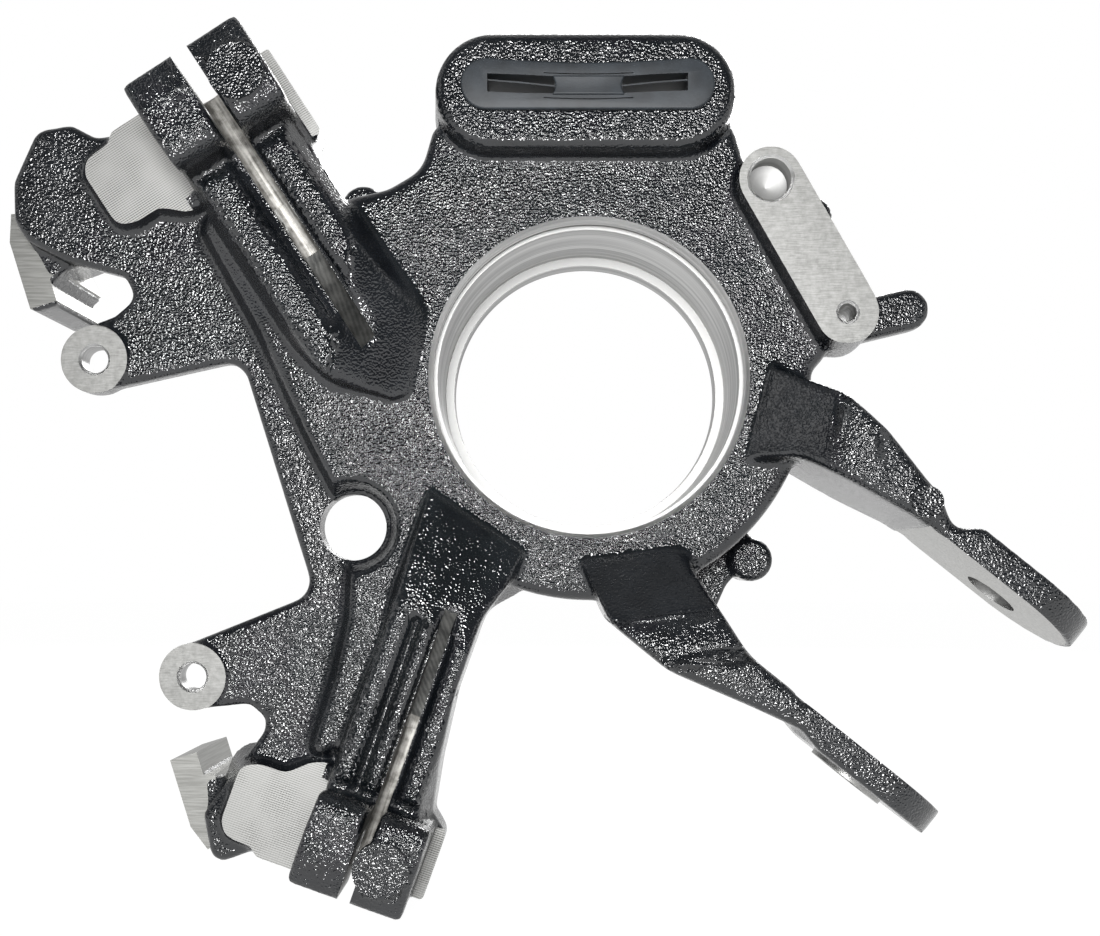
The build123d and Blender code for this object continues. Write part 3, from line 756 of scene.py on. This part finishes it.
def toLinear(hexColour):
    channels = []
    for i in (0, 2, 4):
        c = int(hexColour[i:i + 2], 16) / 255
        channels.append(c / 12.92 if c <= 0.04045 else ((c + 0.055) / 1.055) ** 2.4)
    return (*channels, 1.0)


def addNode(tree, kind, links=None, **settings):
    node = tree.nodes.new(kind)
    for name, value in settings.items():
        setattr(node, name, value)
    for socket, source in (links or {}).items():
        if isinstance(source, bpy.types.NodeSocket):
            tree.links.new(source, node.inputs[socket])
        else:
            node.inputs[socket].default_value = source
    return node


def emptyTree(material):
    material.use_nodes = True
    tree = material.node_tree
    tree.nodes.clear()
    return tree


waveTurn = 2 * math.pi / 20  # a wave texture at this scale has one band for each unit of length


def scales(sizes):
    # the scales of a mapping that give a pattern these sizes in mm
    return tuple(1 / (size * mm) for size in sizes)


# gloss black coat over sand-cast iron: the sand leaves a fine orange peel of shallow, rounded grains,
# pressed smoother on the faces that taper along the mould's draw, so a level face breaks the light
# into dense glints while a tapered one stays a smooth slate black
ironCoat = {
    "colour": "101317",
    "dust": "1a1d21",
    "roughness": 0.1,
    "ior": 1.7,
    "grain": 0.61,  # mm
    "grainHeight": 0.46,
    "fineGrain": 0.4,
    "fineHeight": 0.02,
    "patch": 12.0,
    "patchGrain": 0.75,
    "taperSteep": 0.958,  # how far the surface faces along the draw, from 0 to 1
    "taperLevel": 0.976,
    "taperGrain": 0.42,
    "taperTop": -43.0,  # the ears stand past this and keep their grain
    "wallFlat": 0.5,
    "wallUpright": 0.3,
    "wallGrain": 0.8,
}
tree = emptyTree(finishes["ironCoat"])
where = addNode(tree, "ShaderNodeTexCoord").outputs["Object"]
peel = addNode(tree, "ShaderNodeTexNoise",
    {"Vector": where, "Scale": 1 / (ironCoat["grain"] * mm), "Detail": 0.6, "Roughness": 0.4})
fine = addNode(tree, "ShaderNodeTexNoise",
    {"Vector": where, "Scale": 1 / (ironCoat["fineGrain"] * mm), "Detail": 0.0})
patch = addNode(tree, "ShaderNodeTexNoise",
    {"Vector": where, "Scale": 1 / (ironCoat["patch"] * mm), "Detail": 2.0})
lean = addNode(tree, "ShaderNodeSeparateXYZ",
    {"Vector": addNode(tree, "ShaderNodeTexCoord").outputs["Normal"]})
level = addNode(tree, "ShaderNodeMath", {0: lean.outputs["Y"]}, operation="ABSOLUTE")
standing = addNode(tree, "ShaderNodeSeparateXYZ", {"Vector": where})
onEars = addNode(tree, "ShaderNodeMath", {0: standing.outputs["Y"], 1: ironCoat["taperTop"] * mm},
    operation="LESS_THAN")
sandSide = addNode(tree, "ShaderNodeMath", {0: level.outputs[0], 1: onEars.outputs[0]}, operation="MAXIMUM")
pressed = addNode(tree, "ShaderNodeMapRange",
    {"Value": sandSide.outputs[0], "From Min": ironCoat["taperSteep"], "From Max": ironCoat["taperLevel"],
    "To Min": ironCoat["taperGrain"], "To Max": 1.0})
sandy = addNode(tree, "ShaderNodeMapRange",
    {"Value": patch.outputs["Fac"], "From Min": 0.3, "From Max": 0.7, "To Min": ironCoat["patchGrain"],
    "To Max": 1.0})
upright = addNode(tree, "ShaderNodeMapRange",
    {"Value": sandSide.outputs[0], "From Min": ironCoat["wallFlat"], "From Max": ironCoat["wallUpright"],
    "To Min": 0.0, "To Max": ironCoat["wallGrain"]})
relief = addNode(tree, "ShaderNodeMath", {0: pressed.outputs[0], 1: upright.outputs[0]},
    operation="MAXIMUM")
strength = addNode(tree, "ShaderNodeMath", {0: relief.outputs[0], 1: sandy.outputs[0]},
    operation="MULTIPLY")
coarseBump = addNode(tree, "ShaderNodeBump",
    {"Height": peel.outputs["Fac"], "Distance": ironCoat["grainHeight"] * mm,
    "Strength": strength.outputs[0]})
fineBump = addNode(tree, "ShaderNodeBump",
    {"Height": fine.outputs["Fac"], "Distance": ironCoat["fineHeight"] * mm,
    "Normal": coarseBump.outputs[0]})
dust = addNode(tree, "ShaderNodeMapRange",
    {"Value": patch.outputs["Fac"], "From Min": 0.4, "From Max": 0.65})
colour = addNode(tree, "ShaderNodeMix",
    {"Factor": dust.outputs[0], 6: toLinear(ironCoat["colour"]), 7: toLinear(ironCoat["dust"])},
    data_type="RGBA")
coat = addNode(tree, "ShaderNodeBsdfPrincipled",
    {"Base Color": colour.outputs[2], "Roughness": ironCoat["roughness"], "IOR": ironCoat["ior"],
    "Normal": fineBump.outputs[0]})
addNode(tree, "ShaderNodeOutputMaterial", {"Surface": coat.outputs[0]})


def alongArm(tree, where):
    # turns a pattern so that its X runs along the clamp arm it lies on: the two arms point different ways
    height = addNode(tree, "ShaderNodeSeparateXYZ", {"Vector": where}).outputs["Z"]
    isLower = addNode(tree, "ShaderNodeMath", {0: height, 1: lowerArmBelow * mm}, operation="LESS_THAN")
    turn = addNode(tree, "ShaderNodeMapRange",
        {"Value": isLower.outputs[0], "To Min": math.radians(upperAngle),
        "To Max": math.radians(lowerAngle)})
    return addNode(tree, "ShaderNodeVectorRotate", {"Vector": where, "Angle": turn.outputs[0]},
        rotation_type="Y_AXIS").outputs[0]


# bare iron under a face mill: pale grey, satin, ruled with fine straight tooth marks that fade
# where it is rubbed
milledIron = {
    "colour": "a3a3a1",
    "shade": "5e5e5c",
    "roughness": 0.52,
    "toothSpacing": 0.62,
    "markHeight": 0.03,
    "markStrength": 0.5,
    "crossTeeth": 0.8,
    "crossShare": 0.3,
    "rubbedPatch": 11.0,
    "rubbedMarks": 0.45,
}
tree = emptyTree(finishes["milledIron"])
where = alongArm(tree, addNode(tree, "ShaderNodeTexCoord").outputs["Object"])
bands = waveTurn / (milledIron["toothSpacing"] * mm)
ruled = addNode(tree, "ShaderNodeTexWave",
    {"Vector": where, "Scale": bands, "Distortion": 0.25, "Detail": 1.0, "Detail Scale": 1.0},
    bands_direction="X")
crossed = addNode(tree, "ShaderNodeTexWave",
    {"Vector": where, "Scale": bands * milledIron["crossTeeth"], "Distortion": 0.3, "Detail": 1.0},
    bands_direction="Z")
rubbed = addNode(tree, "ShaderNodeTexNoise",
    {"Vector": where, "Scale": 1 / (milledIron["rubbedPatch"] * mm), "Detail": 1.5})
fade = addNode(tree, "ShaderNodeMapRange",
    {"Value": rubbed.outputs["Fac"], "From Min": 0.38, "From Max": 0.62, "To Min": 1.0,
    "To Max": milledIron["rubbedMarks"]})
grid = addNode(tree, "ShaderNodeMath",
    {0: crossed.outputs["Fac"], 1: milledIron["crossShare"], 2: ruled.outputs["Fac"]},
    operation="MULTIPLY_ADD")
dip = addNode(tree, "ShaderNodeMapRange",
    {"Value": grid.outputs[0], "From Min": 0.15, "From Max": 0.75, "To Min": 1.0, "To Max": 0.0})
marks = addNode(tree, "ShaderNodeMath", {0: dip.outputs[0], 1: fade.outputs[0]}, operation="MULTIPLY")
colour = addNode(tree, "ShaderNodeMix",
    {"Factor": marks.outputs[0], 6: toLinear(milledIron["colour"]), 7: toLinear(milledIron["shade"])},
    data_type="RGBA")
bump = addNode(tree, "ShaderNodeBump",
    {"Height": marks.outputs[0], "Distance": milledIron["markHeight"] * mm,
    "Strength": milledIron["markStrength"]}, invert=True)
metal = addNode(tree, "ShaderNodeBsdfPrincipled",
    {"Base Color": colour.outputs[2], "Metallic": 1.0, "Roughness": milledIron["roughness"],
    "Normal": bump.outputs[0]})
addNode(tree, "ShaderNodeOutputMaterial", {"Surface": metal.outputs[0]})

# bare iron faced with a fine cutter: pale, even, with a faint straight grain and a little cloud
facings = {
    "facedIron": {"colour": "c6c6c4", "shade": "b0b0ae", "roughness": 0.42},
    "spotFacedIron": {"colour": "999997", "shade": "7b7b79", "roughness": 0.5},
}
facingMarks = {
    "tilt": -28.0,
    "scratch": (3.5, 2.0, 0.22),  # mm
    "cloud": 1.6,
    "height": 0.03,
    "strength": 0.6,
}
for name, facing in facings.items():
    tree = emptyTree(finishes[name])
    where = addNode(tree, "ShaderNodeTexCoord").outputs["Object"]
    stretch = addNode(tree, "ShaderNodeMapping",
        {"Vector": where, "Rotation": (0, math.radians(facingMarks["tilt"]), 0),
        "Scale": scales(facingMarks["scratch"])})
    scratch = addNode(tree, "ShaderNodeTexNoise",
        {"Vector": stretch.outputs[0], "Scale": 1.0, "Detail": 3.0})
    cloud = addNode(tree, "ShaderNodeTexNoise",
        {"Vector": where, "Scale": 1 / (facingMarks["cloud"] * mm), "Detail": 4.0, "Roughness": 0.7})
    tone = addNode(tree, "ShaderNodeMath", {0: scratch.outputs["Fac"], 1: cloud.outputs["Fac"]},
        operation="ADD")
    toneRange = addNode(tree, "ShaderNodeMapRange",
        {"Value": tone.outputs[0], "From Min": 0.75, "From Max": 1.25})
    colour = addNode(tree, "ShaderNodeMix",
        {"Factor": toneRange.outputs[0], 6: toLinear(facing["shade"]), 7: toLinear(facing["colour"])},
        data_type="RGBA")
    bump = addNode(tree, "ShaderNodeBump",
        {"Height": tone.outputs[0], "Distance": facingMarks["height"] * mm,
        "Strength": facingMarks["strength"]})
    metal = addNode(tree, "ShaderNodeBsdfPrincipled",
        {"Base Color": colour.outputs[2], "Metallic": 1.0, "Roughness": facing["roughness"],
        "Normal": bump.outputs[0]})
    addNode(tree, "ShaderNodeOutputMaterial", {"Surface": metal.outputs[0]})

# bare iron reamed for the ball pin: burnished in streaks along the bore, stained darker between them
reamedIron = {
    "colour": "c4c2bd",
    "shade": "6b6965",
    "roughness": 0.48,
    "streak": (30.0, 0.8, 0.8),  # mm
    "stain": 3.5,
    "markHeight": 0.03,
    "markStrength": 0.6,
}
tree = emptyTree(finishes["reamedIron"])
where = alongArm(tree, addNode(tree, "ShaderNodeTexCoord").outputs["Object"])
streaks = addNode(tree, "ShaderNodeMapping", {"Vector": where, "Scale": scales(reamedIron["streak"])})
streak = addNode(tree, "ShaderNodeTexNoise", {"Vector": streaks.outputs[0], "Scale": 1.0, "Detail": 3.0})
stain = addNode(tree, "ShaderNodeTexNoise",
    {"Vector": where, "Scale": 1 / (reamedIron["stain"] * mm), "Detail": 4.0, "Roughness": 0.65})
tone = addNode(tree, "ShaderNodeMath", {0: streak.outputs["Fac"], 1: stain.outputs["Fac"]}, operation="ADD")
toneRange = addNode(tree, "ShaderNodeMapRange",
    {"Value": tone.outputs[0], "From Min": 0.8, "From Max": 1.2})
colour = addNode(tree, "ShaderNodeMix",
    {"Factor": toneRange.outputs[0], 6: toLinear(reamedIron["shade"]), 7: toLinear(reamedIron["colour"])},
    data_type="RGBA")
bump = addNode(tree, "ShaderNodeBump",
    {"Height": tone.outputs[0], "Distance": reamedIron["markHeight"] * mm,
    "Strength": reamedIron["markStrength"]})
metal = addNode(tree, "ShaderNodeBsdfPrincipled",
    {"Base Color": colour.outputs[2], "Metallic": 1.0, "Roughness": reamedIron["roughness"],
    "Normal": bump.outputs[0]})
addNode(tree, "ShaderNodeOutputMaterial", {"Surface": metal.outputs[0]})

# bare iron turned on a lathe: bright, with fine rings round the bore and duller shoulders
turnedIron = {
    "colour": "d8d8d7",
    "shade": "a0a0a0",
    "shoulder": "b6b6b5",
    "shoulderRoughness": 0.56,
    "grazing": "d0d0d0",
    "roughness": 0.34,
    "ring": (60.0, 0.45, 60.0),  # mm
    "band": (90.0, 3.2, 90.0),
    "ringShare": 0.5,
    "squareFrom": (0.88, 0.96),
    "markHeight": 0.02,
    "markStrength": 0.6,
}
tree = emptyTree(finishes["turnedIron"])
where = addNode(tree, "ShaderNodeTexCoord").outputs["Object"]
rings = addNode(tree, "ShaderNodeMapping", {"Vector": where, "Scale": scales(turnedIron["ring"])})
feed = addNode(tree, "ShaderNodeTexNoise", {"Vector": rings.outputs[0], "Scale": 1.0, "Detail": 2.0})
wideRings = addNode(tree, "ShaderNodeMapping", {"Vector": where, "Scale": scales(turnedIron["band"])})
bands = addNode(tree, "ShaderNodeTexNoise", {"Vector": wideRings.outputs[0], "Scale": 1.0, "Detail": 1.0})
tone = addNode(tree, "ShaderNodeMath",
    {0: feed.outputs["Fac"], 1: turnedIron["ringShare"], 2: bands.outputs["Fac"]}, operation="MULTIPLY_ADD")
toneRange = addNode(tree, "ShaderNodeMapRange",
    {"Value": tone.outputs[0], "From Min": 0.55, "From Max": 0.95})
wall = addNode(tree, "ShaderNodeMix",
    {"Factor": toneRange.outputs[0], 6: toLinear(turnedIron["shade"]), 7: toLinear(turnedIron["colour"])},
    data_type="RGBA")
side = addNode(tree, "ShaderNodeSeparateXYZ",
    {"Vector": addNode(tree, "ShaderNodeTexCoord").outputs["Normal"]})
squareness = addNode(tree, "ShaderNodeMath", {0: side.outputs["Y"]}, operation="ABSOLUTE")
tilted, level = turnedIron["squareFrom"]
square = addNode(tree, "ShaderNodeMapRange",
    {"Value": squareness.outputs[0], "From Min": tilted, "From Max": level})
dullness = addNode(tree, "ShaderNodeMapRange",
    {"Value": square.outputs[0], "To Min": turnedIron["roughness"],
    "To Max": turnedIron["shoulderRoughness"]})
colour = addNode(tree, "ShaderNodeMix",
    {"Factor": square.outputs[0], 6: wall.outputs[2], 7: toLinear(turnedIron["shoulder"])},
    data_type="RGBA")
bump = addNode(tree, "ShaderNodeBump",
    {"Height": feed.outputs["Fac"], "Distance": turnedIron["markHeight"] * mm,
    "Strength": turnedIron["markStrength"]})
metal = addNode(tree, "ShaderNodeBsdfPrincipled",
    {"Base Color": colour.outputs[2], "Metallic": 1.0, "Roughness": dullness.outputs[0],
    "Specular Tint": toLinear(turnedIron["grazing"]), "Normal": bump.outputs[0]})
addNode(tree, "ShaderNodeOutputMaterial", {"Surface": metal.outputs[0]})

# iron cut by a slitting saw and then half filled with overspray: darker grey, with bowed tooth marks
sawnIron = {
    "colour": "a3a3a0",
    "shade": "6c6d6c",
    "roughness": 0.45,
    "toothSpacing": 1.3,
    "toothShare": 0.15,
    "tilt": 22.0,
    "cloud": 4.0,
    "markHeight": 0.03,
    "markStrength": 0.7,
}
tree = emptyTree(finishes["sawnIron"])
where = addNode(tree, "ShaderNodeTexCoord").outputs["Object"]
turned = addNode(tree, "ShaderNodeMapping",
    {"Vector": where, "Rotation": (0, math.radians(sawnIron["tilt"]), 0)})
wave = addNode(tree, "ShaderNodeTexWave",
    {"Vector": turned.outputs[0], "Scale": waveTurn / (sawnIron["toothSpacing"] * mm), "Distortion": 2.0,
    "Detail": 2.0, "Detail Scale": 2.0}, bands_direction="X")
cloud = addNode(tree, "ShaderNodeTexNoise",
    {"Vector": where, "Scale": 1 / (sawnIron["cloud"] * mm), "Detail": 3.0})
tone = addNode(tree, "ShaderNodeMath",
    {0: wave.outputs["Fac"], 1: sawnIron["toothShare"], 2: cloud.outputs["Fac"]}, operation="MULTIPLY_ADD")
toneRange = addNode(tree, "ShaderNodeMapRange",
    {"Value": tone.outputs[0], "From Min": 0.4, "From Max": 0.8})
colour = addNode(tree, "ShaderNodeMix",
    {"Factor": toneRange.outputs[0], 6: toLinear(sawnIron["shade"]), 7: toLinear(sawnIron["colour"])},
    data_type="RGBA")
bump = addNode(tree, "ShaderNodeBump",
    {"Height": wave.outputs["Fac"], "Distance": sawnIron["markHeight"] * mm,
    "Strength": sawnIron["markStrength"]})
metal = addNode(tree, "ShaderNodeBsdfPrincipled",
    {"Base Color": colour.outputs[2], "Metallic": 1.0, "Roughness": sawnIron["roughness"],
    "Normal": bump.outputs[0]})
addNode(tree, "ShaderNodeOutputMaterial", {"Surface": metal.outputs[0]})

# iron broached along the pad slides: mid grey, with long straight striations
broachedIron = {
    "colour": "9e9e9b",
    "shade": "868683",
    "roughness": 0.38,
    "tilt": -17.0,
    "line": (8.0, 30.0, 0.4),  # mm
    "markHeight": 0.03,
    "markStrength": 0.7,
}
tree = emptyTree(finishes["broachedIron"])
where = addNode(tree, "ShaderNodeTexCoord").outputs["Object"]
stretch = addNode(tree, "ShaderNodeMapping",
    {"Vector": where, "Rotation": (0, math.radians(broachedIron["tilt"]), 0),
    "Scale": scales(broachedIron["line"])})
scratch = addNode(tree, "ShaderNodeTexNoise", {"Vector": stretch.outputs[0], "Scale": 1.0, "Detail": 3.0})
toneRange = addNode(tree, "ShaderNodeMapRange",
    {"Value": scratch.outputs["Fac"], "From Min": 0.35, "From Max": 0.65})
colour = addNode(tree, "ShaderNodeMix",
    {"Factor": toneRange.outputs[0], 6: toLinear(broachedIron["shade"]),
    7: toLinear(broachedIron["colour"])}, data_type="RGBA")
bump = addNode(tree, "ShaderNodeBump",
    {"Height": scratch.outputs["Fac"], "Distance": broachedIron["markHeight"] * mm,
    "Strength": broachedIron["markStrength"]})
metal = addNode(tree, "ShaderNodeBsdfPrincipled",
    {"Base Color": colour.outputs[2], "Metallic": 1.0, "Roughness": broachedIron["roughness"],
    "Normal": bump.outputs[0]})
addNode(tree, "ShaderNodeOutputMaterial", {"Surface": metal.outputs[0]})

# moulded rubber: dark blue-grey, matt-satin, with a faint bloom
mouldedRubber = {
    "colour": "20252a",
    "bloom": "2c3238",
    "roughness": 0.5,
    "cloud": 5.0,  # mm
    "speck": 0.5,
    "speckHeight": 0.03,
    "speckStrength": 0.6,
}
tree = emptyTree(finishes["mouldedRubber"])
where = addNode(tree, "ShaderNodeTexCoord").outputs["Object"]
cloud = addNode(tree, "ShaderNodeTexNoise",
    {"Vector": where, "Scale": 1 / (mouldedRubber["cloud"] * mm), "Detail": 3.0})
speck = addNode(tree, "ShaderNodeTexNoise",
    {"Vector": where, "Scale": 1 / (mouldedRubber["speck"] * mm), "Detail": 2.0})
tone = addNode(tree, "ShaderNodeMapRange",
    {"Value": cloud.outputs["Fac"], "From Min": 0.35, "From Max": 0.65})
colour = addNode(tree, "ShaderNodeMix",
    {"Factor": tone.outputs[0], 6: toLinear(mouldedRubber["colour"]), 7: toLinear(mouldedRubber["bloom"])},
    data_type="RGBA")
bump = addNode(tree, "ShaderNodeBump",
    {"Height": speck.outputs["Fac"], "Distance": mouldedRubber["speckHeight"] * mm,
    "Strength": mouldedRubber["speckStrength"]})
body = addNode(tree, "ShaderNodeBsdfPrincipled",
    {"Base Color": colour.outputs[2], "Roughness": mouldedRubber["roughness"], "Normal": bump.outputs[0]})
addNode(tree, "ShaderNodeOutputMaterial", {"Surface": body.outputs[0]})
print("finishes made")


# floor, light and camera

studio = {
    "mirrorGlow": 0.76,
    "darkSide": 0.08,
    "roomGlow": 0.2,
    "depthSpan": (-0.7, 0.6),
    "floorSpan": 8.0,
    "floorBelow": 0.5,  # mm
    "floorColour": "e6e6e4",
    "floorGlow": 1.11,
    "floorGlowShare": 0.88,
}
lowest = cadBounds[0][2]
deselectAll()
bpy.ops.mesh.primitive_plane_add(size=studio["floorSpan"],
    location=(0, 0, lowest - studio["floorBelow"] * mm))
floor = bpy.context.object
floor.name = "studioFloor"
floorPaint = bpy.data.materials.new("whiteFloorPaint")
tree = emptyTree(floorPaint)
ray = addNode(tree, "ShaderNodeLightPath")
seen = addNode(tree, "ShaderNodeMath", {0: ray.outputs["Is Camera Ray"], 1: ray.outputs["Is Glossy Ray"]},
    operation="MAXIMUM")
paint = addNode(tree, "ShaderNodeBsdfDiffuse", {"Color": toLinear(studio["floorColour"])})
glow = addNode(tree, "ShaderNodeEmission", {"Color": (1, 1, 1, 1), "Strength": studio["floorGlow"]})
lit = addNode(tree, "ShaderNodeMixShader",
    {0: studio["floorGlowShare"], 1: paint.outputs[0], 2: glow.outputs[0]})
surface = addNode(tree, "ShaderNodeMixShader", {0: seen.outputs[0], 1: paint.outputs[0], 2: lit.outputs[0]})
addNode(tree, "ShaderNodeOutputMaterial", {"Surface": surface.outputs[0]})
floor.data.materials.append(floorPaint)

world = bpy.data.worlds.new("studioRoom")
bpy.context.scene.world = world
tree = emptyTree(world)
ray = addNode(tree, "ShaderNodeLightPath")
seen = addNode(tree, "ShaderNodeMath",
    {0: ray.outputs["Is Camera Ray"], 1: ray.outputs["Is Transmission Ray"]}, operation="MAXIMUM")
# the room is darker on the side of the camera, where only the lamps shine
toward = addNode(tree, "ShaderNodeTexCoord").outputs["Object"]
parts = addNode(tree, "ShaderNodeSeparateXYZ", {"Vector": toward})
near, far = studio["depthSpan"]
depth = addNode(tree, "ShaderNodeMapRange",
    {"Value": parts.outputs["Y"], "From Min": near, "From Max": far, "To Min": studio["darkSide"],
    "To Max": studio["mirrorGlow"]}, interpolation_type="SMOOTHSTEP")
mirrored = addNode(tree, "ShaderNodeMath", {0: ray.outputs["Is Glossy Ray"], 1: depth.outputs["Result"]},
    operation="MULTIPLY")
either = addNode(tree, "ShaderNodeMath", {0: seen.outputs[0], 1: mirrored.outputs[0]}, operation="MAXIMUM")
diffuse = addNode(tree, "ShaderNodeMath", {0: ray.outputs["Is Diffuse Ray"], 1: studio["roomGlow"]},
    operation="MULTIPLY")
level = addNode(tree, "ShaderNodeMath", {0: either.outputs[0], 1: diffuse.outputs[0]}, operation="MAXIMUM")
back = addNode(tree, "ShaderNodeBackground", {"Color": (1, 1, 1, 1), "Strength": level.outputs[0]})
addNode(tree, "ShaderNodeOutputWorld", {"Surface": back.outputs[0]})

# place in m, width in m, power in W
lamps = {
    "keyLamp": ((-0.04, -0.74, 0.05), 0.2, 4.9),
    "softLamp": ((-0.25, -0.95, 0.08), 0.6, 0.15),
    "leftLamp": ((-1.1, -0.5, 0.5), 0.5, 0.6),
    "rightLamp": ((1.1, -0.4, 0.3), 0.5, 0.6),
    "backLamp": ((0.2, 1.1, 0.5), 0.6, 6.0),
}
aim = Vector((-15, 0, -30)) * mm
for name, (at, size, watts) in lamps.items():
    deselectAll()
    bpy.ops.object.light_add(type="AREA", location=at)
    lamp = bpy.context.object
    lamp.name = name
    lamp.data.shape = "DISK"
    lamp.data.size = size
    lamp.data.energy = watts
    lamp.rotation_euler = (aim - Vector(at)).to_track_quat("-Z", "Y").to_euler()

view = {
    "at": (-12.2, -457.5, -53.3),
    "lens": 50.92,
    "shift": (0.0045, 0.0927),
    "sensor": 36.0,
    "clipStart": 0.01,
}
deselectAll()
bpy.ops.object.camera_add()
camera = bpy.context.object
camera.data.lens = view["lens"]
camera.data.sensor_width = view["sensor"]
camera.data.clip_start = view["clipStart"]
camera.data.shift_x, camera.data.shift_y = view["shift"]
camera.rotation_euler = (math.pi / 2, 0, 0)
camera.location = Vector(view["at"]) * mm
bpy.context.scene.camera = camera
bpy.context.scene.view_settings.view_transform = "Standard"
